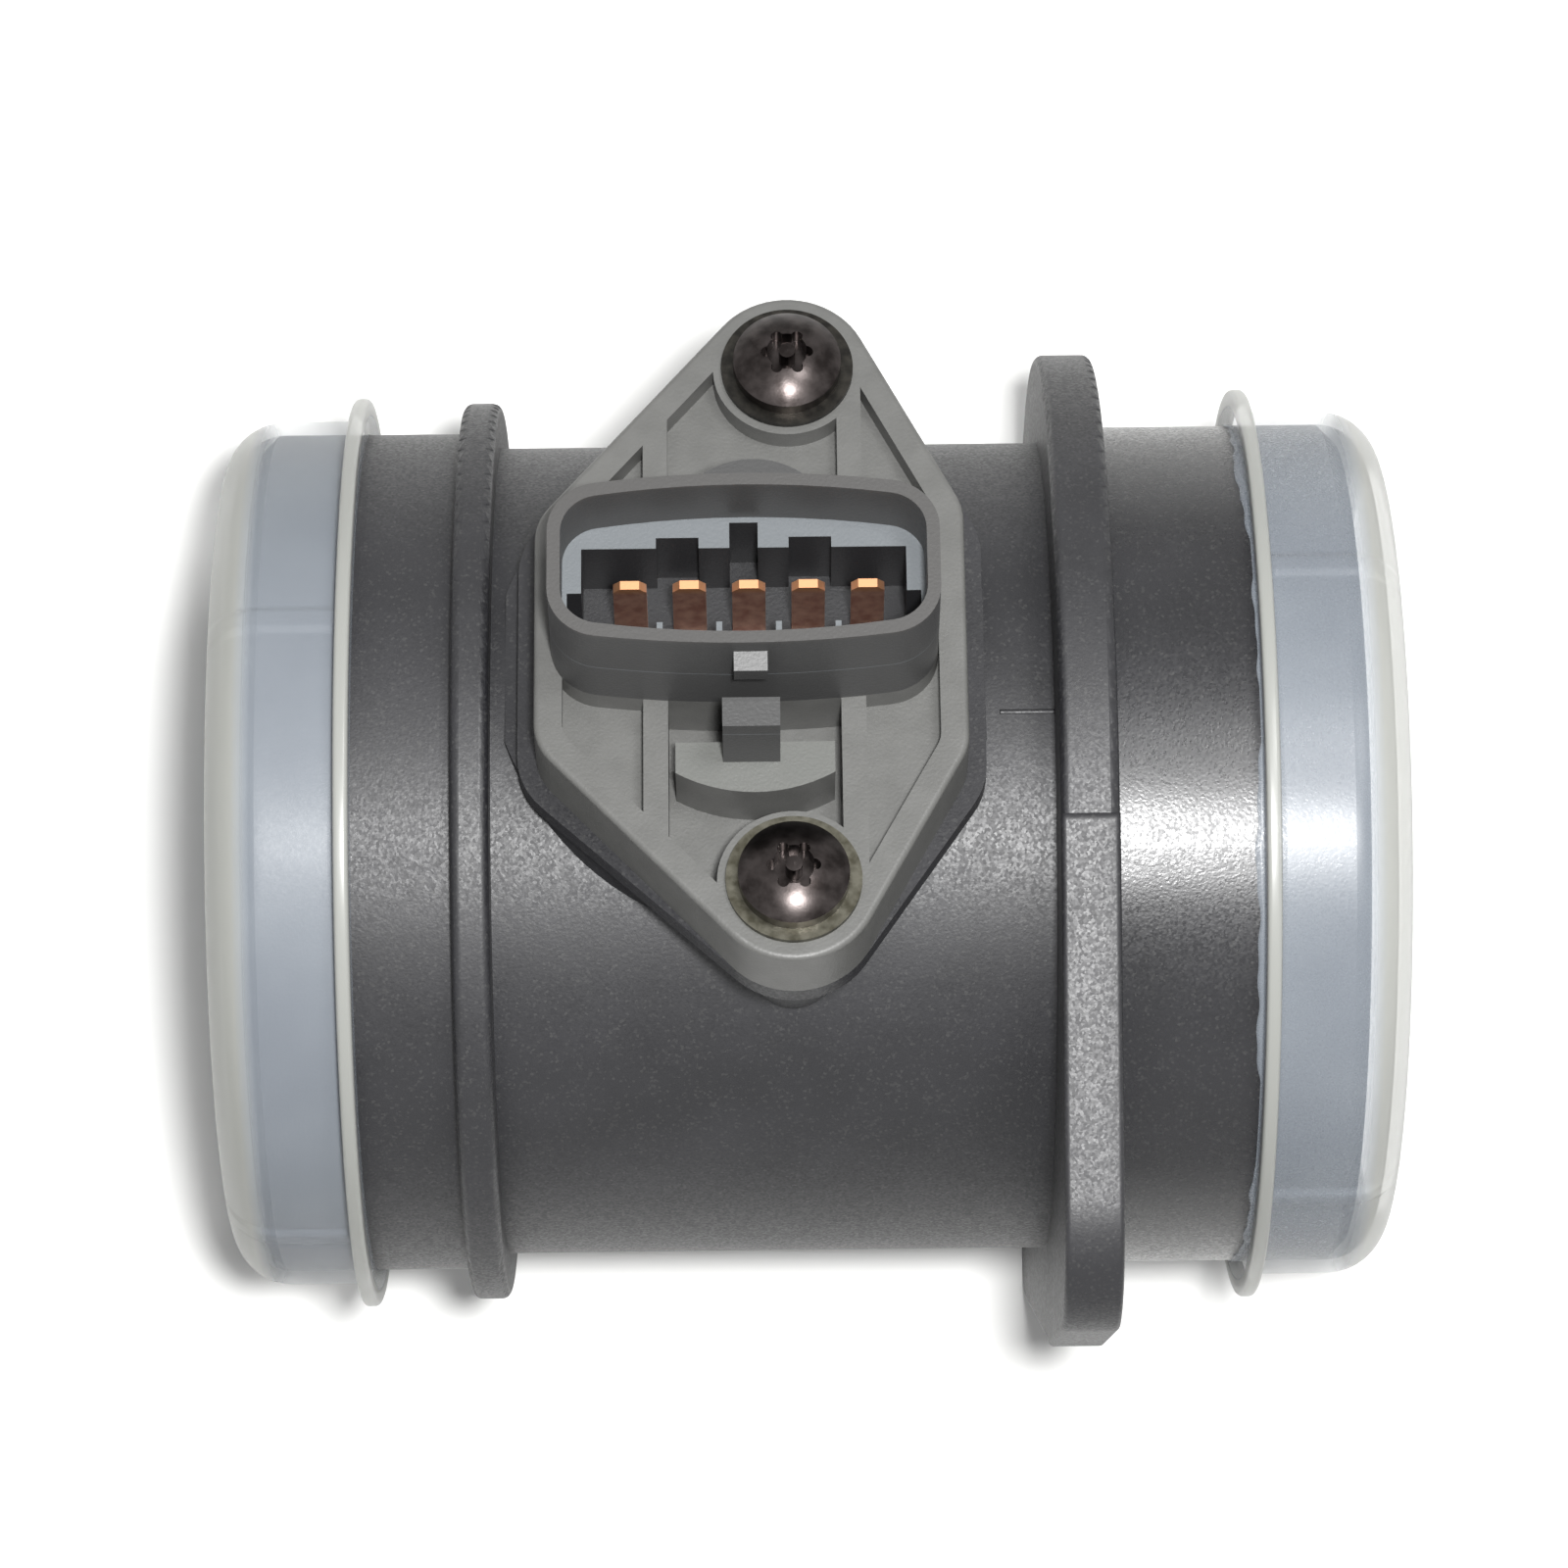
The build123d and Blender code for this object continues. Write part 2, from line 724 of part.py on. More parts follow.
for end, place in screw_places.items():
    with BuildPart() as screw:
        with BuildSketch(plan_view.offset(head_seat - screw_reach)):
            with Locations(place):
                Circle(screw_radius)
        extrude(amount=screw_reach)
        dome_radius = (head_radius**2 + head_dome**2) / (2 * head_dome)
        with BuildSketch(section_view.offset(place[0])):
            with BuildLine():
                Polyline(
                    (place[1], head_seat + head_edge + head_dome),
                    (place[1], head_seat),
                    (place[1] + head_radius, head_seat),
                    (place[1] + head_radius, head_seat + head_edge),
                )
                RadiusArc(
                    (place[1] + head_radius, head_seat + head_edge),
                    (place[1], head_seat + head_edge + head_dome),
                    -dome_radius,
                )
            make_face()
        revolve(axis=Axis(plan_view.from_local_coords((*place, 0)), outward))
        with BuildSketch(plan_view.offset(head_seat + head_edge + head_dome - socket_depth)):
            with Locations(place):
                Circle(socket_radius)
                with PolarLocations(socket_radius, 6):
                    Circle(socket_lobe_radius)
                Circle(socket_pin_radius, mode=Mode.SUBTRACT)
        extrude(amount=socket_depth, mode=Mode.SUBTRACT)
    write_part(screw.part, f"screw_{end}")

    with BuildPart() as sleeve:
        with BuildSketch(plan_view.offset(seat_height)):
            with Locations(place):
                Circle(sleeve_radius)
        extrude(amount=head_seat - seat_height)
        with BuildSketch(plan_view.offset(head_seat - sleeve_flange_thickness)):
            with Locations(place):
                Circle(sleeve_flange_radius)
        extrude(amount=sleeve_flange_thickness)
        with BuildSketch(plan_view.offset(seat_height)):
            with Locations(place):
                Circle(screw_radius + sleeve_clearance)
        extrude(amount=head_seat - seat_height, mode=Mode.SUBTRACT)
    write_part(sleeve.part, f"sleeve_{end}")

    with BuildPart() as insert:
        with BuildSketch(plan_view.offset(seat_height - insert_length)):
            with Locations(place):
                Circle(insert_radius)
                Circle(screw_radius + thread_clearance, mode=Mode.SUBTRACT)
        extrude(amount=insert_length)
    write_part(insert.part, f"insert_{end}")

# ---------------------------------------------------------------- flow grid and its clip

with BuildPart() as flow_grid:
    with BuildSketch(Plane.YZ.offset(-grid_setback)):
        Circle(grid_radius)
    extrude(amount=-grid_thickness)
    with BuildSketch(Plane.YZ.offset(-grid_setback), mode=Mode.PRIVATE) as cells:
        with GridLocations(cell_pitch, cell_pitch, cell_rows, cell_rows):
            Rectangle(cell_pitch - cell_wall, cell_pitch - cell_wall)
        Circle(grid_radius - grid_rim, mode=Mode.INTERSECT)
    open_cells = [face for face in cells.sketch.faces() if face.area > smallest_cell]
    extrude(to_extrude=open_cells, amount=-grid_thickness, mode=Mode.SUBTRACT)
write_part(flow_grid.part, "flow_grid")

with BuildPart() as grid_clip:
    with BuildSketch(Plane.YZ.offset(-grid_setback)) as clip_ring:
        Circle(grid_radius + grid_clearance + clip_groove)
        Circle(grid_radius - grid_rim, mode=Mode.SUBTRACT)
        with Locations((0, grid_radius)):
            Rectangle(clip_opening, clip_opening, mode=Mode.SUBTRACT)
    extrude(amount=clip_section)
write_part(grid_clip.part, "grid_clip")

# ---------------------------------------------------------------- dust caps


def make_cap(label, spigot_end, direction, depth, overhang, flute_turn):
    """Revolve a cap over one spigot end and add its four flutes.

    The profile runs from the flange along the skirt, over the rounded shoulder
    to the flat crown. direction is +1 for the inlet and -1 for the outlet.
    """
    inner = spigot_radius + cap_clearance
    outer = inner + cap_wall
    crown = spigot_end + direction * overhang
    shoulder = crown - direction * cap_shoulder_round
    lip = spigot_end - direction * depth
    inner_crown = crown - direction * cap_wall
    with BuildPart() as cap:
        with BuildSketch(Plane.XY):
            with BuildLine():
                Polyline(
                    (shoulder, outer),
                    (lip + direction * cap_flange_thickness, outer),
                    (lip + direction * cap_flange_thickness, cap_flange_radius),
                    (lip, cap_flange_radius),
                    (lip, inner),
                    (shoulder, inner),
                )
                EllipticalCenterArc(
                    (shoulder, outer - cap_crown_inset),
                    cap_shoulder_round,
                    cap_crown_inset,
                    start_angle=0 if direction > 0 else 90,
                    arc_size=90,
                )
                EllipticalCenterArc(
                    (shoulder, outer - cap_crown_inset),
                    cap_shoulder_round - cap_wall,
                    cap_crown_inset - cap_wall,
                    start_angle=0 if direction > 0 else 90,
                    arc_size=90,
                )
                Polyline(
                    (crown, outer - cap_crown_inset),
                    (crown, 0),
                    (inner_crown, 0),
                    (inner_crown, outer - cap_crown_inset),
                )
            make_face()
            rim_corners = vertices().filter_by(lambda corner: abs(corner.Y - cap_flange_radius) < 0.01)
            fillet(rim_corners, cap_edge_round)
        revolve(axis=Axis.X)
        with BuildSketch(Plane.YZ.offset(lip)):
            with PolarLocations(outer, 4, start_angle=90 - flute_turn):
                Rectangle(2 * flute_height, flute_width)
            Circle(inner + cap_wall / 2, mode=Mode.SUBTRACT)
        extrude(amount=shoulder - lip)
    write_part(cap.part, label)


make_cap("inlet_dust_cap", 0, 1, cap_depth_inlet, cap_overhang_inlet, flute_turn_inlet)
make_cap("outlet_dust_cap", tube_end, -1, cap_depth_outlet, cap_overhang_outlet, flute_turn_outlet)
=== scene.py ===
"""Finish of a mass airflow sensor: the materials of its pieces, the translucent dust
caps, the fine moulded and plated details, and the stage that it is shown on.

All lengths are in metres in the part's own frame: +X out of the inlet, +Z up.
"""

import math

import bmesh
import bpy
import numpy as np
from mathutils import Matrix, Vector


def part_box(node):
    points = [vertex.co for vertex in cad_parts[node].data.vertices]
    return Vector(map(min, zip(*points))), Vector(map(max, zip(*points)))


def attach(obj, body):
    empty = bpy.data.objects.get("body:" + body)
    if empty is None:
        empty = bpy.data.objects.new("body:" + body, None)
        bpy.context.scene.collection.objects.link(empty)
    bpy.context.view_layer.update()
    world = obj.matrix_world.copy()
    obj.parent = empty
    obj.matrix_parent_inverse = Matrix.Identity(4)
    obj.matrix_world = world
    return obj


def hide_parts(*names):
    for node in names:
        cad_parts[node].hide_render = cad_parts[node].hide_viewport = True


bl_info = {
    "name": "Mass Airflow Sensor Finish",
    "version": (1, 0, 0),
    "blender": (4, 5, 0),
    "location": "View3D > Sidebar > Airflow Sensor",
    "description": "Materials, dust caps, fine details and stage of a mass airflow sensor",
    "category": "Object",
}

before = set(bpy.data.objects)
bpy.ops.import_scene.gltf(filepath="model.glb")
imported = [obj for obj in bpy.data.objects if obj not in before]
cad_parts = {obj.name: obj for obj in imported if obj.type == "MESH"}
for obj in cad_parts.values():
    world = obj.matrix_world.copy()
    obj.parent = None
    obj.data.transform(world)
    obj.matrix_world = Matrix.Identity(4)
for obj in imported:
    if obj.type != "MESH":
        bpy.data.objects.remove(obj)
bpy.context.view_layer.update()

MM = 0.001
BODY = "root"
INLET_CAP_LOW, INLET_CAP_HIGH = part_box("inlet_dust_cap")
OUTLET_CAP_LOW, OUTLET_CAP_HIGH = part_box("outlet_dust_cap")
HOUSING_LOW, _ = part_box("tube_housing")
BARREL_RADIUS = 36.65 * MM

# The collar's faces along X, its rim, and the upper end of its straight side (Y, Z)
COLLAR_BACK = -26.9 * MM
COLLAR_FRONT = -21.9 * MM
COLLAR_RADIUS = 44.6 * MM
COLLAR_SIDE = (-44.8 * MM, 11.2 * MM)

# The sensor's own place and lean, and the heights of its faces above the duct's axis
SENSOR_X = -52.9 * MM
SENSOR_LEAN = math.radians(26)
FLANGE_TOP = 45.0 * MM
LEDGE_HEIGHT = 50.2 * MM
MOUTH_HEIGHT = 56.0 * MM
# The contact chamber and the key slots behind it, which take the cavity's painted shade: middle
# along X and across, then half sizes
CHAMBER = (-0.5 * MM, -0.1 * MM, 15.1 * MM, 4.5 * MM)
KEY_SLOTS = (-0.5 * MM, 5.6 * MM, 9.0 * MM, 1.4 * MM)
BLADE_TIP = 51.0 * MM
TURRET_CENTRE = (0.3 * MM, -3.1 * MM, FLANGE_TOP)
TURRET_RADIUS = 13.1 * MM
TURRET_HALF_WIDTH = 6.7 * MM
TURRET_BACK = -11.5 * MM
TERMINALS = [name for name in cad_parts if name.startswith("terminal_")]

# Where the parting lines start along X; both end at the collar
PARTING_START = {"upper": -31.6 * MM, "lower": -75.3 * MM}

# Colours of the sensor's moulding, sRGB hex: the covers' own tone, painted shade for the cavity
# and the connector's walls, and painted light for the ledge, the mouth's rim and the turret's top
PAINTED_CAVITY_SHADE = "1C1C1E"
COVER_COLOUR = "414141"
PAINTED_LEDGE_LIGHT = "63676A"
PAINTED_RIM_HIGHLIGHT = "403F3E"
PAINTED_TURRET_LIGHT = "5C5D5A"
PAINTED_WALL_SHADE = "383838"

# The outlet cap's flange, thickness along X, and the points round each cap
OUTLET_FLANGE = 1.3 * MM
CAP_SEGMENTS = 720

# The stage, in metres: half the floor's width, and the lamps' places and sizes
FLOOR_REACH = 1.5
FLASH_OFFSET = Vector((0.035, 0.016, 0.0))
FLASH_SIZE = 0.05
SOFT_PLACE = Vector((0.16, 0.30, 0.62))
SOFT_SIZE = 0.20

# How far a painted boundary is spread, and how far a laid-on piece stands proud
EDGE = 0.05 * MM
PROUD = 0.03 * MM


# ---------------------------------------------------------------- sizes and colours


class CapSettings(bpy.types.PropertyGroup):
    """Sizes and colours of the two dust caps."""

    wall: bpy.props.FloatProperty(
        name="Wall", description="Wall thickness", default=1.2 * MM, unit="LENGTH", precision=4
    )
    skirt_radius: bpy.props.FloatProperty(
        name="Skirt radius",
        description="Outer radius of the skirt",
        default=39.25 * MM,
        unit="LENGTH",
    )
    flange_thickness: bpy.props.FloatProperty(
        name="Flange thickness",
        description="Thickness of the pull-off flange",
        default=1.3 * MM,
        unit="LENGTH",
    )
    shoulder_length: bpy.props.FloatProperty(
        name="Shoulder length",
        description="Length of the rounded shoulder",
        default=5.0 * MM,
        unit="LENGTH",
    )
    shoulder_drop: bpy.props.FloatProperty(
        name="Shoulder drop",
        description="Radial height of the shoulder",
        default=4.6 * MM,
        unit="LENGTH",
    )
    flute_width: bpy.props.FloatProperty(
        name="Flute width",
        description="Width of each raised flute",
        default=2.0 * MM,
        unit="LENGTH",
    )
    flute_height: bpy.props.FloatProperty(
        name="Flute height",
        description="Height of each raised flute",
        default=0.35 * MM,
        unit="LENGTH",
    )
    flute_turn_inlet: bpy.props.FloatProperty(
        name="Inlet flute turn",
        description="Turn of the inlet cap's flutes from the top, towards -Y",
        default=math.radians(-38.1),
        subtype="ANGLE",
    )
    flute_turn_outlet: bpy.props.FloatProperty(
        name="Outlet flute turn",
        description="Turn of the outlet cap's flutes from the top, towards -Y",
        default=math.radians(-31.2),
        subtype="ANGLE",
    )
    colour: bpy.props.StringProperty(
        name="Colour", description="Colour of the natural polyethylene, sRGB hex", default="B2BAC3"
    )
    edge_colour: bpy.props.StringProperty(
        name="Edge colour",
        description="Colour where the wall is looked into along its length",
        default="9E9F9A",
    )
    cover: bpy.props.FloatProperty(
        name="Cover",
        description="How much the milky wall hides of what is behind it",
        default=0.42,
        min=0.0,
        max=1.0,
        subtype="FACTOR",
    )
    shoulder_cover: bpy.props.FloatProperty(
        name="Shoulder cover",
        description="How much each surface of the rounded shoulder hides",
        default=0.68,
        min=0.0,
        max=1.0,
        subtype="FACTOR",
    )
    flange_cover: bpy.props.FloatProperty(
        name="Flange cover",
        description="How much each surface of the pull-off flange hides",
        default=0.72,
        min=0.0,
        max=1.0,
        subtype="FACTOR",
    )


class MouldingSettings(bpy.types.PropertyGroup):
    """Colours and grain of the moulded black pieces."""

    housing_colour: bpy.props.StringProperty(
        name="Housing", description="Colour of the duct housing, sRGB hex", default="1E1E21"
    )
    sensor_colour: bpy.props.StringProperty(
        name="Sensor", description="Colour of the sensor moulding, sRGB hex", default="585856"
    )
    grain: bpy.props.FloatProperty(
        name="Grain",
        description="Size of the moulded grain",
        default=0.28 * MM,
        unit="LENGTH",
        precision=5,
    )
    fleck: bpy.props.FloatProperty(
        name="Fleck",
        description="Size of the glass fibre flecks",
        default=0.22 * MM,
        unit="LENGTH",
        precision=5,
    )
    corner_start: bpy.props.FloatProperty(
        name="Corner start",
        description="Length of the collar's flat top, from the middle to its corner",
        default=29.6 * MM,
        unit="LENGTH",
    )
    corner_radius: bpy.props.FloatProperty(
        name="Corner radius",
        description="Radius of the collar's upper corner",
        default=12.0 * MM,
        unit="LENGTH",
    )
    parting_height: bpy.props.FloatProperty(
        name="Parting line",
        description="Height of the mould's parting line",
        default=0.1 * MM,
        unit="LENGTH",
    )
    parting_offset: bpy.props.FloatProperty(
        name="Parting offset",
        description="Place of the upper parting line on Y",
        default=11.8 * MM,
        unit="LENGTH",
    )


class StageSettings(bpy.types.PropertyGroup):
    """Camera, floor and lamps."""

    camera_place: bpy.props.FloatVectorProperty(
        name="Camera",
        description="Place of the camera",
        default=(-0.05267, 0.00581, 0.56747),
        subtype="XYZ",
    )
    camera_up: bpy.props.FloatVectorProperty(
        name="Up",
        description="Up direction of the picture",
        default=(0.0109, 1.0, 0.0),
        subtype="DIRECTION",
    )
    camera_back: bpy.props.FloatVectorProperty(
        name="Back",
        description="Direction from the part to the camera",
        default=(-0.0047, 0.0, 1.0),
        subtype="DIRECTION",
    )
    lens: bpy.props.FloatProperty(
        name="Lens",
        description="Focal length on a 36 mm sensor",
        default=142.7,
        subtype="DISTANCE_CAMERA",
    )
    flash_power: bpy.props.FloatProperty(
        name="Flash", description="Power of the lamp beside the camera", default=5.1, unit="POWER"
    )
    soft_power: bpy.props.FloatProperty(
        name="Soft lamp",
        description="Power of the soft lamp over the inlet end",
        default=1.7,
        unit="POWER",
    )
    daylight: bpy.props.FloatProperty(
        name="Daylight", description="Strength of the even light from all round", default=0.17
    )
    floor_colour: bpy.props.StringProperty(
        name="Floor", description="Colour of the floor, sRGB hex", default="F4F4F2"
    )
    backdrop_share: bpy.props.FloatProperty(
        name="Backdrop share",
        description="Share of plain white laid over the floor where it is seen or mirrored",
        default=0.12,
        min=0.0,
        max=1.0,
        subtype="FACTOR",
    )


# ---------------------------------------------------------------- meshes


def add_mesh(name, points, faces, smooth=True):
    """Makes a mesh object at the origin from an array of points and a list of faces."""
    mesh = bpy.data.meshes.new(name)
    mesh.from_pydata(points.tolist(), [], faces)
    mesh.validate()
    mesh.polygons.foreach_set("use_smooth", np.full(len(mesh.polygons), smooth))
    piece = bpy.data.objects.new(name, mesh)
    bpy.context.scene.collection.objects.link(piece)
    return piece


def grid_faces(rows, columns, wrap_rows=False, wrap_columns=False):
    """Quads of a grid of points; a wrapped direction joins its last line to its first."""
    row, column = np.meshgrid(
        np.arange(rows if wrap_rows else rows - 1),
        np.arange(columns if wrap_columns else columns - 1),
        indexing="ij",
    )
    next_row = (row + 1) % rows
    next_column = (column + 1) % columns
    corners = (
        row * columns + column,
        row * columns + next_column,
        next_row * columns + next_column,
        next_row * columns + column,
    )
    return np.stack(corners, axis=-1).reshape(-1, 4).tolist()


def revolve(name, place, radius, segments, bump):
    """Closed surface turned about X.

    A point at place x and radius r goes to (x, -r sin a, r cos a) for each angle a
    counted from the top towards -Y. The profile starts and ends on the axis, where
    each pole is one point. bump adds a height to r for each profile point and angle.
    """
    angle = np.linspace(0, 2 * math.pi, segments, endpoint=False)
    ring = radius[1:-1, None] + bump(angle)[1:-1]
    x = np.broadcast_to(place[1:-1, None], ring.shape)
    points = np.stack((x, -ring * np.sin(angle), ring * np.cos(angle)), axis=-1).reshape(-1, 3)
    poles = np.array([(place[0], 0, 0), (place[-1], 0, 0)])
    count = len(place) - 2
    faces = grid_faces(count, segments, wrap_columns=True)
    start, end = len(points), len(points) + 1
    column = np.arange(segments)
    following = (column + 1) % segments
    last = (count - 1) * segments
    faces += np.stack((np.full(segments, start), following, column), axis=-1).tolist()
    faces += np.stack((np.full(segments, end), last + column, last + following), axis=-1).tolist()
    return add_mesh(name, np.vstack((points, poles)), faces)


def face_outwards(piece):
    """Turns a closed piece's faces outwards."""
    shape = bmesh.new()
    shape.from_mesh(piece.data)
    bmesh.ops.recalc_face_normals(shape, faces=shape.faces)
    shape.to_mesh(piece.data)
    shape.free()


# ---------------------------------------------------------------- material helpers


def linear(hex_colour):
    """sRGB hex to a linear colour with alpha 1."""
    parts = [int(hex_colour[i : i + 2], 16) / 255 for i in (0, 2, 4)]
    return (*[p / 12.92 if p <= 0.04045 else ((p + 0.055) / 1.055) ** 2.4 for p in parts], 1.0)


def add_node(material, kind, settings=None, inputs=None, links=None):
    """Adds a node with its properties, input values and links, each a (node, output) pair."""
    tree = material.node_tree
    node = tree.nodes.new(kind)
    for key, value in (settings or {}).items():
        setattr(node, key, value)
    for key, value in (inputs or {}).items():
        node.inputs[key].default_value = value
    for key, (source, output) in (links or {}).items():
        tree.links.new(source.outputs[output], node.inputs[key])
    return node


def start_material(name):
    """An empty material with its output, Object coordinates and shader."""
    material = bpy.data.materials.new(name)
    material.use_nodes = True
    material.node_tree.nodes.clear()
    shader = add_node(material, "ShaderNodeBsdfPrincipled")
    output = add_node(material, "ShaderNodeOutputMaterial", links={"Surface": (shader, "BSDF")})
    place = add_node(material, "ShaderNodeTexCoord")
    return material, shader, place, output


def link(material, source, output, target, socket):
    """Links one socket to another."""
    material.node_tree.links.new(source.outputs[output], target.inputs[socket])


def noise(material, place, size, detail):
    """Noise with features of a given size, fixed to the piece."""
    return add_node(
        material,
        "ShaderNodeTexNoise",
        inputs={"Scale": 1 / size, "Detail": detail},
        links={"Vector": (place, "Object")},
    )


def mottle(material, place, dark, light, size):
    """A colour that wanders between two hex colours over patches of a given size."""
    patches = noise(material, place, size, 4.0)
    ramp = add_node(material, "ShaderNodeValToRGB", links={"Fac": (patches, "Fac")})
    for element, position, colour in zip(ramp.color_ramp.elements, (0.35, 0.65), (dark, light)):
        element.position = position
        element.color = linear(colour)
    return ramp


def grain_bump(material, place, size, depth, strength):
    """A fine moulded or blasted grain of a given size and depth."""
    grain = noise(material, place, size, 3.0)
    return add_node(
        material,
        "ShaderNodeBump",
        inputs={"Strength": strength, "Distance": depth},
        links={"Height": (grain, "Fac")},
    )


def sensor_place(material, place):
    """Object coordinates turned into the sensor's own: along X, across the flange, and height."""
    turned = add_node(
        material,
        "ShaderNodeMapping",
        inputs={"Location": (-SENSOR_X, 0.0, 0.0), "Rotation": (SENSOR_LEAN, 0.0, 0.0)},
        links={"Vector": (place, "Object")},
    )
    return turned, add_node(material, "ShaderNodeSeparateXYZ", links={"Vector": (turned, "Vector")})


def step_up(material, source, output, start, end):
    """0 below start, 1 above end, and even between them."""
    return add_node(
        material,
        "ShaderNodeMapRange",
        inputs={"From Min": start, "From Max": end},
        links={"Value": (source, output)},
    )


def combine(material, operation, results):
    """Folds (node, output) pairs into one with a math operation."""
    total = results[0]
    for result in results[1:]:
        ends = {0: total, 1: result}
        node = add_node(material, "ShaderNodeMath", {"operation": operation}, links=ends)
        total = (node, "Value")
    return total


def product(material, factors):
    """The product of several (node, output) pairs."""
    return combine(material, "MULTIPLY", factors)


def spread(material, source, low, high, least, most):
    """A (node, output) pair mapped from low...high to least...most."""
    limits = {"From Min": low, "From Max": high, "To Min": least, "To Max": most}
    node = add_node(material, "ShaderNodeMapRange", inputs=limits, links={"Value": source})
    return node, "Result"


def blend(material, factor, under, over):
    """One colour laid over another by a (node, output) factor; over is a hex colour."""
    return add_node(
        material,
        "ShaderNodeMix",
        {"data_type": "RGBA"},
        {"B": linear(over)},
        {"Factor": factor, "A": under},
    )


def at_height(material, split, height):
    """1 on the sensor's face at one height, else 0."""
    above = step_up(material, split, "Z", height - EDGE, height - EDGE / 2)
    below = step_up(material, split, "Z", height + EDGE, height + EDGE / 2)
    return product(material, ((above, "Result"), (below, "Result")))


def seen_rays(material, path):
    """1 for a ray from the camera, a mirror or clear stuff, else 0: the largest of the three."""
    rays = ("Is Camera Ray", "Is Glossy Ray", "Is Transmission Ray")
    return combine(material, "MAXIMUM", [(path, ray) for ray in rays])


def distance_from(material, source, output, centre):
    """How far one coordinate lies from a centre."""
    beside = add_node(
        material, "ShaderNodeMath", {"operation": "SUBTRACT"}, {1: centre}, {0: (source, output)}
    )
    size = {"operation": "ABSOLUTE"}
    return add_node(material, "ShaderNodeMath", size, links={0: (beside, "Value")})


def near(material, source, output, centre, reach):
    """1 within reach of a centre along one coordinate, else 0, with a spread edge."""
    aside = distance_from(material, source, output, centre)
    return step_up(material, aside, "Value", reach, reach - EDGE), "Result"


def dress(node, material):
    """Gives a CAD node its material."""
    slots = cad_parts[node].data.materials
    slots.clear()
    slots.append(material)


# ---------------------------------------------------------------- materials


def glass_filled_polyamide():
    """Black glass-filled polyamide, injection moulded: satin, with pale fibre flecks.

    The inlet spigot, in front of the collar, came from a polished part of the mould.
    """
    setting = bpy.context.scene.airflow_moulding
    material, shader, place, _ = start_material("glass_filled_polyamide")
    body = mottle(material, place, "151518", setting.housing_colour, size=9 * MM)
    cells = add_node(
        material,
        "ShaderNodeTexVoronoi",
        inputs={"Scale": 1 / setting.fleck},
        links={"Vector": (place, "Object")},
    )
    level = add_node(material, "ShaderNodeSeparateColor", links={"Color": (cells, "Color")})
    fleck = spread(material, (level, "Red"), low=0.84, high=1.0, least=0.0, most=0.07)
    colour = blend(material, fleck, (body, "Color"), over="8C8C88")
    link(material, colour, "Result", shader, "Base Color")
    split = add_node(material, "ShaderNodeSeparateXYZ", links={"Vector": (place, "Object")})
    satin, polished = 0.5, 0.32
    polish_start, polish_full = COLLAR_FRONT - 2 * EDGE, COLLAR_FRONT + 2 * EDGE
    polish = spread(material, (split, "X"), polish_start, polish_full, satin, polished)
    uneven = spread(material, (level, "Green"), low=0.0, high=1.0, least=-0.08, most=0.10)
    rough = combine(material, "ADD", (polish, uneven))
    link(material, *rough, shader, "Roughness")
    bump = grain_bump(material, place, setting.grain, depth=0.03 * MM, strength=0.7)
    link(material, bump, "Normal", shader, "Normal")
    shader.inputs["IOR"].default_value = 1.53
    return material


def glass_filled_polyester(name="glass_filled_polyester", colour=None):
    """Black glass-filled polyester, injection moulded: matt and greyer, paler in random patches.

    Over the flange's own tone, painted shade darkens the connector's walls and, most of all,
    the cavity round the blades; painted light makes the ledge, the mouth's rim and the turret's
    top paler. Each is found by its height and place in the sensor's own frame.
    """
    setting = bpy.context.scene.airflow_moulding
    material, shader, place, _ = start_material(name)
    body = mottle(material, place, "525250", colour or setting.sensor_colour, size=2.5 * MM)
    turned, split = sensor_place(material, place)
    ledge = at_height(material, split, LEDGE_HEIGHT)
    rim_start, rim_full = MOUTH_HEIGHT - 0.5 * MM, MOUTH_HEIGHT - 0.1 * MM
    rim = step_up(material, split, "Z", rim_start, rim_full)
    walls = step_up(material, split, "Z", FLANGE_TOP + EDGE, FLANGE_TOP + 2 * EDGE)
    sunk = (step_up(material, split, "Z", LEDGE_HEIGHT - EDGE, LEDGE_HEIGHT - 2 * EDGE), "Result")
    reach = add_node(
        material,
        "ShaderNodeVectorMath",
        {"operation": "DISTANCE"},
        {1: TURRET_CENTRE},
        {0: (turned, "Vector")},
    )
    turret = product(
        material,
        (
            (step_up(material, reach, "Value", TURRET_RADIUS, TURRET_RADIUS - EDGE), "Result"),
            near(material, split, "X", TURRET_CENTRE[0], TURRET_HALF_WIDTH),
            (step_up(material, split, "Y", TURRET_BACK, TURRET_BACK - EDGE), "Result"),
            at_height(material, split, FLANGE_TOP),
        ),
    )
    # Painted shade: everything above the flange top is painted darker, for the shaded sides of the
    # connector
    body = blend(material, (walls, "Result"), (body, "Color"), PAINTED_WALL_SHADE)
    # Painted shade: the chamber and key slots below the ledge are painted darkest, for the shade
    # deep in the mouth
    for middle, across, half_length, half_width in (CHAMBER, KEY_SLOTS):
        along = near(material, split, "X", middle, half_length)
        beside = near(material, split, "Y", across, half_width)
        cavity = product(material, (along, beside, sunk))
        body = blend(material, cavity, (body, "Result"), PAINTED_CAVITY_SHADE)
    # Painted light: the ledge, and the divider tops at its height, painted paler as lit faces
    body = blend(material, ledge, (body, "Result"), PAINTED_LEDGE_LIGHT)
    # Painted highlight: a band a little paler than the walls round the top of the mouth
    body = blend(material, (rim, "Result"), (body, "Result"), PAINTED_RIM_HIGHLIGHT)
    # Painted light: the turret's flat top painted paler as a lit face
    body = blend(material, turret, (body, "Result"), PAINTED_TURRET_LIGHT)
    link(material, body, "Result", shader, "Base Color")
    bump = grain_bump(material, place, setting.grain, depth=0.04 * MM, strength=0.8)
    link(material, bump, "Normal", shader, "Normal")
    shader.inputs["IOR"].default_value = 1.57
    shader.inputs["Roughness"].default_value = 0.5
    return material


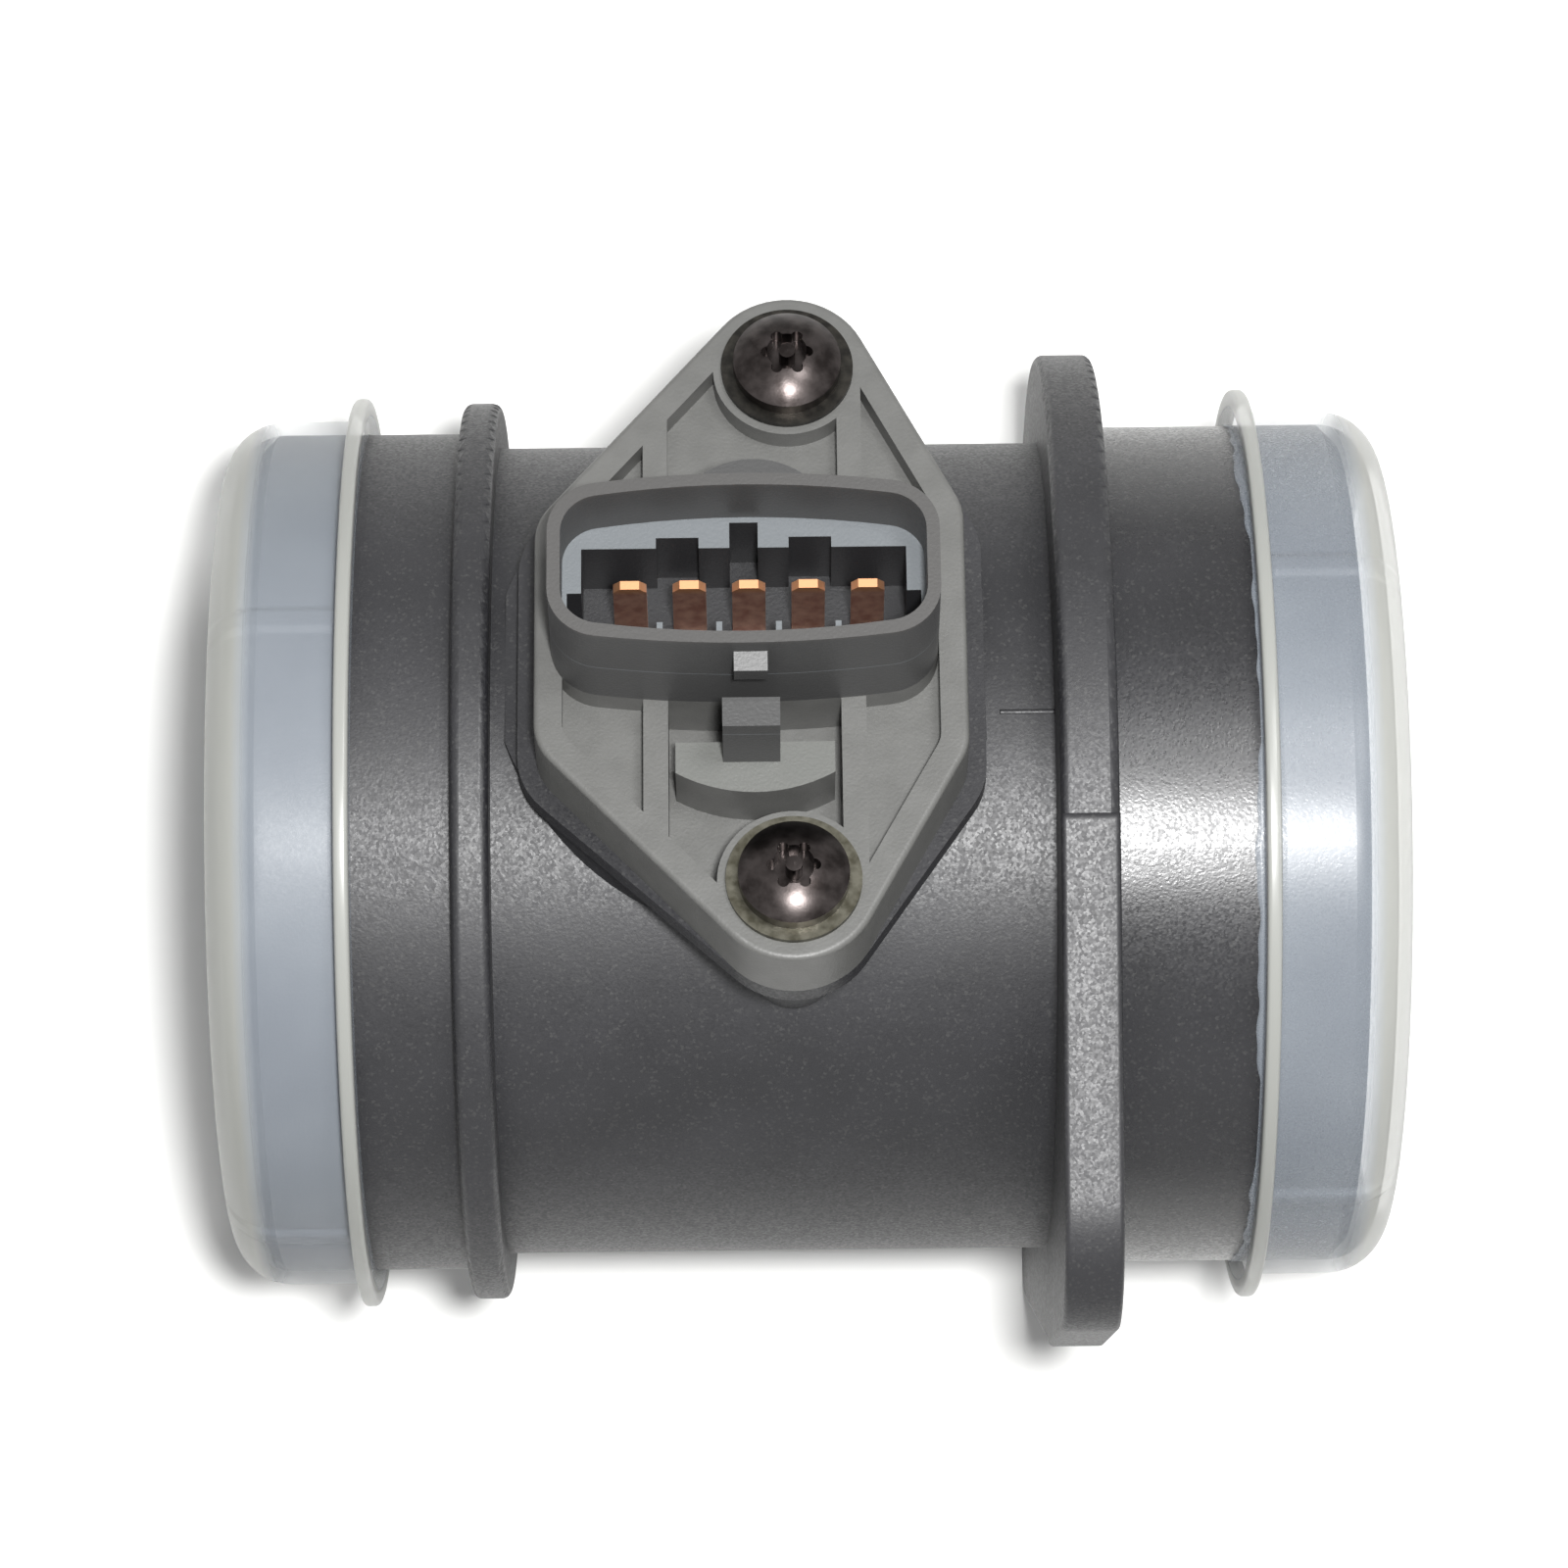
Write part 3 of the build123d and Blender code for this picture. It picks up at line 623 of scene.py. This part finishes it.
def natural_polyethylene():
    """Natural low-density polyethylene, injection moulded: milky, waxy and half see-through.

    A wall is two surfaces, so each hides 1 - sqrt(1 - cover). The pull-off flange and
    the rounded shoulder are looked into along the wall, and hide more.
    """
    setting = bpy.context.scene.airflow_caps
    material, shader, place, _ = start_material("natural_polyethylene")
    body = mottle(material, place, "A6AEB8", setting.colour, size=14 * MM)
    bump = grain_bump(material, place, size=2.2 * MM, depth=0.02 * MM, strength=0.4)
    link(material, bump, "Normal", shader, "Normal")
    shader.inputs["Roughness"].default_value = 0.3
    shader.inputs["IOR"].default_value = 1.51
    split = add_node(material, "ShaderNodeSeparateXYZ", links={"Vector": (place, "Object")})
    across = {"Y": (split, "Y"), "Z": (split, "Z")}
    radius = add_node(material, "ShaderNodeCombineXYZ", links=across)
    length = add_node(
        material, "ShaderNodeVectorMath", {"operation": "LENGTH"}, links={0: (radius, "Vector")}
    )
    surface = 1 - math.sqrt(1 - setting.cover)
    middle = (INLET_CAP_HIGH.x + OUTLET_CAP_LOW.x) / 2
    half = (INLET_CAP_HIGH.x - OUTLET_CAP_LOW.x) / 2
    outwards = distance_from(material, split, "X", middle)
    shoulder_start = half - setting.shoulder_length
    shoulder_middle = half - 0.5 * setting.shoulder_length
    shoulder = spread(
        material, (outwards, "Value"), shoulder_start, shoulder_middle, 0.0, setting.shoulder_cover
    )
    round_start = setting.skirt_radius - setting.shoulder_drop
    face_end = round_start - 0.6 * setting.shoulder_drop
    outside = step_up(material, length, "Value", face_end, round_start)
    rounded = product(material, (shoulder, (outside, "Result")))
    flange_start = setting.skirt_radius + setting.flute_height
    flange_full = flange_start + setting.flute_height
    flange = spread(
        material, (length, "Value"), flange_start, flange_full, surface, setting.flange_cover
    )
    hidden = combine(material, "MAXIMUM", (flange, rounded))
    link(material, *hidden, shader, "Alpha")
    milk = step_up(material, *hidden, surface, setting.shoulder_cover)
    colour = blend(material, (milk, "Result"), (body, "Color"), setting.edge_colour)
    link(material, colour, "Result", shader, "Base Color")
    return material


def finish(name, dark, light, patch, roughness, grain, ior=1.5, metallic=0.0):
    """A finish whose colour wanders between two tones, with a fine grain.

    The tones are sRGB hex; patch and grain are in millimetres.
    """
    material, shader, place, _ = start_material(name)
    body = mottle(material, place, dark, light, size=patch * MM)
    link(material, body, "Color", shader, "Base Color")
    bump = grain_bump(material, place, size=grain * MM, depth=0.01 * MM, strength=0.5)
    link(material, bump, "Normal", shader, "Normal")
    shader.inputs["Roughness"].default_value = roughness
    shader.inputs["IOR"].default_value = ior
    shader.inputs["Metallic"].default_value = metallic
    return material


def bare_metal(name, dark, light, patch, roughness):
    """A bare or plated metal."""
    return finish(name, dark, light, patch, roughness, grain=0.2, metallic=1.0)


def plain_finish(name, dark, light, patch, roughness, ior):
    """A finish that isn't metal."""
    return finish(name, dark, light, patch, roughness, grain=0.3, ior=ior)


# ---------------------------------------------------------------- operators


class SENSOR_OT_housing(bpy.types.Operator):
    """Finishes the duct housing, and adds the mould's parting lines and the collar's corner."""

    bl_idname = "airflow.housing"
    bl_label = "Duct housing"

    def execute(self, context):
        setting = context.scene.airflow_moulding
        material = glass_filled_polyamide()
        dress("tube_housing", material)
        upper_angle = -math.asin(setting.parting_offset / BARREL_RADIUS)
        angles = {"upper": upper_angle, "lower": upper_angle + math.pi}
        for side, start in PARTING_START.items():
            name = f"parting_line_{side}"
            ridge = self.ridge(name, start, COLLAR_BACK, angles[side], setting)
            ridge.data.materials.append(material)
            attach(ridge, BODY)
        corner = self.collar_corner(setting)
        corner.data.materials.append(material)
        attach(corner, BODY)
        return {"FINISHED"}

    def collar_corner(self, setting):
        """The collar's upper corner: its outline carried along X, with both rims rounded.

        The outer line starts on the rim's circle just before the top, runs flat, turns
        over an arc and drops along that arc's tangent to the collar's side. With the
        arc's centre c and the side's upper end p, the turn f meets the tangent where
        (p - c) . (sin f, cos f) equals the radius. The inner line is an arc just above
        the barrel. The rims have a radius of ease: from each face inwards, a ring at
        ease (1 - cos t) is the outer line drawn in by ease (1 - sin t) along its
        normals, t from 0 to 90 degrees. Both faces stand PROUD of the flat rim's.
        """
        radius = setting.corner_radius
        centre = np.array((-setting.corner_start, COLLAR_RADIUS - radius))
        away, down = COLLAR_SIDE[0] - centre[0], COLLAR_SIDE[1] - centre[1]
        last_turn = math.asin(radius / math.hypot(away, down)) + math.atan2(-down, -away)
        lead_angle = math.radians(4)
        lead = self.bearing(np.linspace(-lead_angle, 0, 6))
        turned = self.bearing(np.linspace(0, last_turn, 28))
        flat = np.linspace(0, -setting.corner_start, 24)[1:-1]
        drop = np.linspace(0, 1, 14)[1:, None]
        arc = centre + radius * turned
        outer = np.vstack(
            (
                COLLAR_RADIUS * lead,
                np.stack((flat, np.full(len(flat), COLLAR_RADIUS)), axis=-1),
                arc,
                arc[-1] + drop * (np.array(COLLAR_SIDE) - arc[-1]),
            )
        )
        normal = np.vstack(
            (lead, np.tile((0.0, 1.0), (len(flat), 1)), turned, np.tile(turned[-1], (len(drop), 1)))
        )
        sweep = np.arctan2(-outer[:, 0], outer[:, 1])[::-1]
        above_barrel = 0.6 * MM
        inner = (BARREL_RADIUS + above_barrel) * self.bearing(sweep)
        ease = 0.5 * MM
        theta = np.linspace(0, math.pi / 2, 6)
        pull = ease * (1 - np.sin(theta))
        step = ease * (1 - np.cos(theta))
        back = COLLAR_BACK - PROUD + step
        front = (COLLAR_FRONT + PROUD - step)[::-1]
        stations = np.concatenate((back, front))
        rings = [np.vstack((outer - draw * normal, inner)) for draw in (*pull, *pull[::-1])]
        columns = len(outer) + len(inner)
        points = np.column_stack((np.repeat(stations, columns), np.vstack(rings)))
        faces = grid_faces(len(stations), columns, wrap_columns=True)
        for first in (0, (len(stations) - 1) * columns):
            last = first + columns - 1
            for i in range(len(outer) - 1):
                faces.append((first + i, first + i + 1, last - i - 1, last - i))
        piece = add_mesh("collar_corner", points, faces)
        face_outwards(piece)
        return piece

    def bearing(self, angle):
        """Unit (Y, Z) directions at angles counted from the top towards -Y."""
        return np.stack((-np.sin(angle), np.cos(angle)), axis=-1)

    def ridge(self, name, start, end, angle, setting):
        """A low rounded ridge on the barrel, its foot sunk in the wall.

        Its section is half a sine wave, carried along X.
        """
        across = np.linspace(-1, 1, 9)
        along = np.linspace(start, end, 40)
        half_width = 0.22 * MM
        foot_depth = 0.1 * MM
        height = setting.parting_height * np.cos(across * math.pi / 2)
        turn = angle + across * half_width / BARREL_RADIUS
        foot = np.full(len(across), BARREL_RADIUS - foot_depth)
        radius = np.concatenate((BARREL_RADIUS + height, foot))
        turns = np.concatenate((turn, turn[::-1]))
        section = radius[:, None] * self.bearing(turns)
        columns = len(section)
        points = np.column_stack((np.repeat(along, columns), np.tile(section, (len(along), 1))))
        faces = grid_faces(len(along), columns, wrap_columns=True)
        faces.append(list(range(columns)))
        faces.append(list(range(len(points) - columns, len(points)))[::-1])
        piece = add_mesh(name, points, faces)
        face_outwards(piece)
        return piece


class SENSOR_OT_sensor(bpy.types.Operator):
    """Finishes the sensor's moulding and its covers."""

    bl_idname = "airflow.sensor"
    bl_label = "Sensor moulding"

    def execute(self, context):
        dress("sensor_body", glass_filled_polyester())
        cover = glass_filled_polyester("glass_filled_polyester_cover", COVER_COLOUR)
        for node in ("electronics_cover", "channel_cover"):
            dress(node, cover)
        return {"FINISHED"}


class SENSOR_OT_terminals(bpy.types.Operator):
    """Finishes the five blade terminals."""

    bl_idname = "airflow.terminals"
    bl_label = "Terminals"

    def execute(self, context):
        bronze = self.stamped_bronze()
        for node in TERMINALS:
            dress(node, bronze)
        return {"FINISHED"}

    def stamped_bronze(self):
        """Copper-tin bronze strip: tarnished brown, with a painted highlight on the tip."""
        material = bare_metal("stamped_bronze", "CC9684", "EEC0AA", patch=1.2, roughness=0.48)
        nodes = material.node_tree.nodes
        shader = next(node for node in nodes if node.type == "BSDF_PRINCIPLED")
        place = next(node for node in nodes if node.type == "TEX_COORD")
        tarnish = next(node for node in nodes if node.type == "VALTORGB")
        _, split = sensor_place(material, place)
        # Painted highlight: the last millimetre of each blade is painted bright, full over its last
        # 0.3 mm
        highlight_start, highlight_full = BLADE_TIP - 1.0 * MM, BLADE_TIP - 0.3 * MM
        tip_highlight = step_up(material, split, "Z", highlight_start, highlight_full)
        colour = blend(material, (tip_highlight, "Result"), (tarnish, "Color"), over="EAAE82")
        link(material, colour, "Result", shader, "Base Color")
        return material


class SENSOR_OT_fasteners(bpy.types.Operator):
    """Finishes the screws, sleeves and threaded inserts."""

    bl_idname = "airflow.fasteners"
    bl_label = "Screws, sleeves and inserts"

    def execute(self, context):
        # Name, dark and light tone, patch in millimetres, roughness.
        # The oxide is on heat-treated, oiled steel: brown-black and glossy.
        # Yellow passivated zinc looks olive here, without a rainbow.
        oxide = bare_metal("black_oxide_steel", "2A2625", "464140", 1.6, 0.3)
        passivated = bare_metal("yellow_passivated_zinc", "46443A", "66645A", 1.0, 0.4)
        dark_zinc = bare_metal("darkened_zinc", "2B2A28", "3E3C38", 1.0, 0.36)
        brass = bare_metal("turned_brass", "9A7A3E", "C9A55C", 2.0, 0.28)
        for end in ("upper", "lower"):
            dress(f"screw_{end}", oxide)
            dress(f"insert_{end}", brass)
        dress("sleeve_lower", passivated)
        dress("sleeve_upper", dark_zinc)
        return {"FINISHED"}


class SENSOR_OT_electronics(bpy.types.Operator):
    """Finishes the base plate, board, measuring chip, bead and seal."""

    bl_idname = "airflow.electronics"
    bl_label = "Electronics and seal"

    def execute(self, context):
        dress("base_plate", bare_metal("rolled_aluminium", "9C9C9E", "C2C2C4", 3.0, 0.35))
        # Name, dark and light tone, patch in millimetres, roughness, index of refraction
        finishes = {
            "circuit_board": ("fired_alumina", "C6C7C2", "E2E2DC", 1.5, 0.4, 1.76),
            "hot_film_chip": ("polished_silicon", "2F353D", "4A525C", 1.0, 0.12, 1.8),
            "air_temperature_bead": ("dipped_epoxy", "241A14", "3C2C22", 0.8, 0.22, 1.5),
            "seal_ring": ("moulded_nitrile_rubber", "141414", "222222", 1.5, 0.6, 1.52),
        }
        for node, values in finishes.items():
            dress(node, plain_finish(*values))
        return {"FINISHED"}


class SENSOR_OT_grid(bpy.types.Operator):
    """Finishes the flow grid and its spring clip."""

    bl_idname = "airflow.grid"
    bl_label = "Flow grid"

    def execute(self, context):
        polyamide = plain_finish("moulded_polyamide_grid", "1E1E20", "303032", 2.0, 0.45, 1.53)
        dress("flow_grid", polyamide)
        dress("grid_clip", bare_metal("spring_steel_wire", "5E5E60", "8A8A8C", 2.0, 0.3))
        return {"FINISHED"}


class SENSOR_OT_caps(bpy.types.Operator):
    """Builds the two translucent dust caps, with their flutes, and the inlet cap's torn flash."""

    bl_idname = "airflow.caps"
    bl_label = "Dust caps"

    def execute(self, context):
        setting = context.scene.airflow_caps
        material = natural_polyethylene()
        turns = (setting.flute_turn_inlet, setting.flute_turn_outlet)
        caps = (
            ("inlet", INLET_CAP_LOW.x, INLET_CAP_HIGH.x, INLET_CAP_HIGH.y),
            ("outlet", OUTLET_CAP_HIGH.x, OUTLET_CAP_LOW.x, OUTLET_CAP_HIGH.y),
        )
        for turn, (end, lip, crown, flange) in zip(turns, caps):
            piece = self.cap(f"{end}_cap_moulding", setting, lip, crown, flange, turn)
            piece.data.materials.append(material)
            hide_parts(f"{end}_dust_cap")
            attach(piece, BODY)
        flash = self.flash(setting, INLET_CAP_LOW.x)
        flash.data.materials.append(material)
        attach(flash, BODY)
        return {"FINISHED"}

    def cap(self, name, setting, lip, crown, flange, turn):
        """A cap: its wall's section turned about X.

        The outer line runs from the crown's centre over a quarter ellipse to the skirt
        and round the flange. The inner line comes back a wall's thickness inside it.
        Four flutes raise the outer line by a smooth step across their width.
        """
        way = math.copysign(1, crown - lip)
        wall = setting.wall
        outer = setting.skirt_radius
        inner = outer - wall
        shoulder = crown - way * setting.shoulder_length
        flange_top = lip + way * setting.flange_thickness
        ease = 0.4 * MM
        arc = np.linspace(math.pi / 2, 0, 24)
        crown_line = np.linspace(0, outer - setting.shoulder_drop, 20)[:-1]
        outer_x = shoulder + way * setting.shoulder_length * np.sin(arc)
        outer_r = outer - setting.shoulder_drop + setting.shoulder_drop * np.cos(arc)
        skirt_x = np.linspace(shoulder, flange_top, 12)[1:]
        round_arc = np.linspace(0, math.pi / 2, 6)
        drawn_sine = ease * (1 - np.sin(round_arc))
        drawn_cosine = ease * (1 - np.cos(round_arc))
        rim_x = np.concatenate((flange_top - way * drawn_cosine, lip + way * drawn_sine))
        rim_r = np.concatenate((flange - drawn_sine, flange - drawn_cosine))
        bore_x = np.linspace(lip, shoulder, 8)[1:-1]
        inner_arc = np.linspace(0, math.pi / 2, 20)
        inner_x = shoulder + way * (setting.shoulder_length - wall) * np.sin(inner_arc)
        inner_r = outer - setting.shoulder_drop + (setting.shoulder_drop - wall) * np.cos(inner_arc)
        inner_line = np.linspace(outer - setting.shoulder_drop, 0, 12)[1:]
        inner_crown = crown - way * wall
        place = np.concatenate(
            (
                np.full(len(crown_line), crown),
                outer_x,
                skirt_x,
                rim_x,
                (lip,),
                bore_x,
                inner_x,
                np.full(len(inner_line), inner_crown),
            )
        )
        radius = np.concatenate(
            (
                crown_line,
                outer_r,
                np.full(len(skirt_x), outer),
                rim_r,
                (inner,),
                np.full(len(bore_x), inner),
                inner_r,
                inner_line,
            )
        )
        fluted = np.zeros(len(place))
        first = len(crown_line)
        last = first + len(outer_x) + len(skirt_x)
        fluted[first:last] = 1.0
        fluted[first : first + len(outer_x)] = np.sin(np.linspace(0, math.pi / 2, len(outer_x)))

        def flutes(angle):
            """Height at each profile point and angle: a smooth step beside each of four flutes."""
            quarter = math.pi / 2
            nearest = (angle - turn + quarter / 2) % quarter - quarter / 2
            side = np.abs(nearest) * outer
            flank = 0.3 * MM
            step = np.clip((setting.flute_width / 2 + flank / 2 - side) / flank, 0, 1)
            return fluted[:, None] * setting.flute_height * (step * step * (3 - 2 * step))[None, :]

        piece = revolve(name, place, radius, CAP_SEGMENTS, flutes)
        face_outwards(piece)
        return piece

    def flash(self, setting, lip):
        """The torn skin left at the inlet cap's lip.

        A thin ring on the spigot whose free edge reaches out from the lip by a sum of
        sines of the angle, so that it is ragged without being random.
        """
        angle = np.linspace(0, 2 * math.pi, CAP_SEGMENTS, endpoint=False)
        gap, thickness, root_depth = 0.01 * MM, 0.12 * MM, 0.2 * MM
        mean_reach, ragged_reach = 0.35 * MM, 0.28 * MM
        inner = setting.skirt_radius - setting.wall + gap
        outer = inner + thickness
        # Waves round the lip: how many, and their phase
        waves = ((5, 0.9), (13, 2.1), (29, 0.4), (61, 1.3))
        ragged = sum(np.sin(n * angle + phase) / rank for rank, (n, phase) in enumerate(waves, 1))
        torn = lip - (mean_reach + ragged_reach * np.clip(ragged, -0.9, 1.6))
        root = np.full(CAP_SEGMENTS, lip + root_depth)
        rings = ((root, inner), (root, outer), (torn, outer), (torn, inner))
        points = np.concatenate(
            [np.stack((x, -r * np.sin(angle), r * np.cos(angle)), axis=-1) for x, r in rings]
        )
        faces = grid_faces(len(rings), CAP_SEGMENTS, wrap_rows=True, wrap_columns=True)
        piece = add_mesh("inlet_cap_flash", points, faces)
        face_outwards(piece)
        return piece


class SENSOR_OT_stage(bpy.types.Operator):
    """Sets the floor, the lamps, the daylight and the camera."""

    bl_idname = "airflow.stage"
    bl_label = "Stage"

    def execute(self, context):
        setting = context.scene.airflow_stage
        self.floor(setting)
        self.lamps(context, setting)
        self.world(context, setting)
        self.camera(context, setting)
        context.scene.view_settings.view_transform = "Standard"
        return {"FINISHED"}

    def floor(self, setting):
        """A plane a hair under the two places the part rests on: collar and outlet flange."""
        flange_middle = OUTLET_FLANGE / 2
        foot = ((COLLAR_BACK + COLLAR_FRONT) / 2, HOUSING_LOW.z)
        flange = (OUTLET_CAP_HIGH.x - flange_middle, OUTLET_CAP_LOW.z)
        slope = (flange[1] - foot[1]) / (flange[0] - foot[0])
        gap = 0.05 * MM
        line = np.linspace(-FLOOR_REACH, FLOOR_REACH, 3)
        x, y = np.meshgrid(line, line, indexing="ij")
        z = foot[1] + slope * (x - foot[0]) - gap
        points = np.stack((x, y, z), axis=-1).reshape(-1, 3)
        floor = add_mesh("floor", points, grid_faces(len(line), len(line)), smooth=False)
        material, shader, _, output = start_material("pale_paper")
        shader.inputs["Base Color"].default_value = linear(setting.floor_colour)
        shader.inputs["Roughness"].default_value = 0.9
        white = add_node(
            material, "ShaderNodeEmission", inputs={"Color": (1.0, 1.0, 1.0, 1.0), "Strength": 1.0}
        )
        path = add_node(material, "ShaderNodeLightPath")
        share = add_node(
            material,
            "ShaderNodeMath",
            {"operation": "MULTIPLY"},
            {1: setting.backdrop_share},
            {0: seen_rays(material, path)},
        )
        mix = add_node(
            material,
            "ShaderNodeMixShader",
            links={0: (share, "Value"), 1: (shader, "BSDF"), 2: (white, "Emission")},
        )
        link(material, mix, "Shader", output, "Surface")
        floor.data.materials.append(material)

    def lamps(self, context, setting):
        """A small lamp beside the camera, and a soft one over the inlet end."""
        camera = Vector(setting.camera_place)
        lamps = (
            ("flash", camera + FLASH_OFFSET, FLASH_SIZE, setting.flash_power),
            ("soft_side", SOFT_PLACE, SOFT_SIZE, setting.soft_power),
        )
        for name, place, size, power in lamps:
            lamp = bpy.data.lights.new(name, "AREA")
            lamp.shape = "DISK"
            lamp.size = size
            lamp.energy = power
            holder = bpy.data.objects.new(name, lamp)
            holder.location = place
            aim = Vector((SENSOR_X, 0.0, 0.0)) - place
            holder.rotation_euler = aim.to_track_quat("-Z", "Y").to_euler()
            context.scene.collection.objects.link(holder)

    def world(self, context, setting):
        """Even pale daylight, and a white backdrop where it is seen or mirrored past the floor."""
        world = bpy.data.worlds.new("daylight")
        context.scene.world = world
        world.use_nodes = True
        background = world.node_tree.nodes["Background"]
        background.inputs["Color"].default_value = (1.0, 1.0, 1.0, 1.0)
        path = add_node(world, "ShaderNodeLightPath")
        level = add_node(
            world,
            "ShaderNodeMapRange",
            inputs={"To Min": setting.daylight, "To Max": 1.0},
            links={"Value": seen_rays(world, path)},
        )
        link(world, level, "Result", background, "Strength")

    def camera(self, context, setting):
        """The camera, looking almost straight down."""
        back = Vector(setting.camera_back).normalized()
        up = Vector(setting.camera_up).normalized()
        right = up.cross(back).normalized()
        up = back.cross(right)
        lens = bpy.data.cameras.new("camera")
        lens.lens = setting.lens
        lens.sensor_width = 36.0
        holder = bpy.data.objects.new("camera", lens)
        turn = Matrix((right, up, back)).transposed().to_4x4()
        holder.matrix_world = Matrix.Translation(Vector(setting.camera_place)) @ turn
        context.scene.collection.objects.link(holder)
        context.scene.camera = holder


class SENSOR_PT_panel(bpy.types.Panel):
    """Lists the pieces of the sensor and their settings."""

    bl_label = "Airflow Sensor"
    bl_idname = "SENSOR_PT_panel"
    bl_space_type = "VIEW_3D"
    bl_region_type = "UI"
    bl_category = "Airflow Sensor"

    def draw(self, context):
        for operator in OPERATORS:
            self.layout.operator(operator.bl_idname)
        for name in SETTINGS:
            settings = getattr(context.scene, name)
            box = self.layout.box()
            for key in settings.__annotations__:
                box.prop(settings, key)


OPERATORS = (
    SENSOR_OT_housing,
    SENSOR_OT_sensor,
    SENSOR_OT_terminals,
    SENSOR_OT_fasteners,
    SENSOR_OT_electronics,
    SENSOR_OT_grid,
    SENSOR_OT_caps,
    SENSOR_OT_stage,
)
SETTINGS = {
    "airflow_caps": CapSettings,
    "airflow_moulding": MouldingSettings,
    "airflow_stage": StageSettings,
}


def register():
    """Registers the settings, operators and panel."""
    for group in SETTINGS.values():
        bpy.utils.register_class(group)
    for operator in (*OPERATORS, SENSOR_PT_panel):
        bpy.utils.register_class(operator)
    for name, group in SETTINGS.items():
        setattr(bpy.types.Scene, name, bpy.props.PointerProperty(type=group))


def unregister():
    """Takes them away again."""
    for name in SETTINGS:
        delattr(bpy.types.Scene, name)
    for operator in (SENSOR_PT_panel, *reversed(OPERATORS)):
        bpy.utils.unregister_class(operator)
    for group in reversed(SETTINGS.values()):
        bpy.utils.unregister_class(group)


def main():
    register()
    bpy.ops.airflow.housing()
    bpy.ops.airflow.sensor()
    bpy.ops.airflow.terminals()
    bpy.ops.airflow.fasteners()
    bpy.ops.airflow.electronics()
    bpy.ops.airflow.grid()
    bpy.ops.airflow.caps()
    bpy.ops.airflow.stage()


if __name__ == "__main__":
    main()
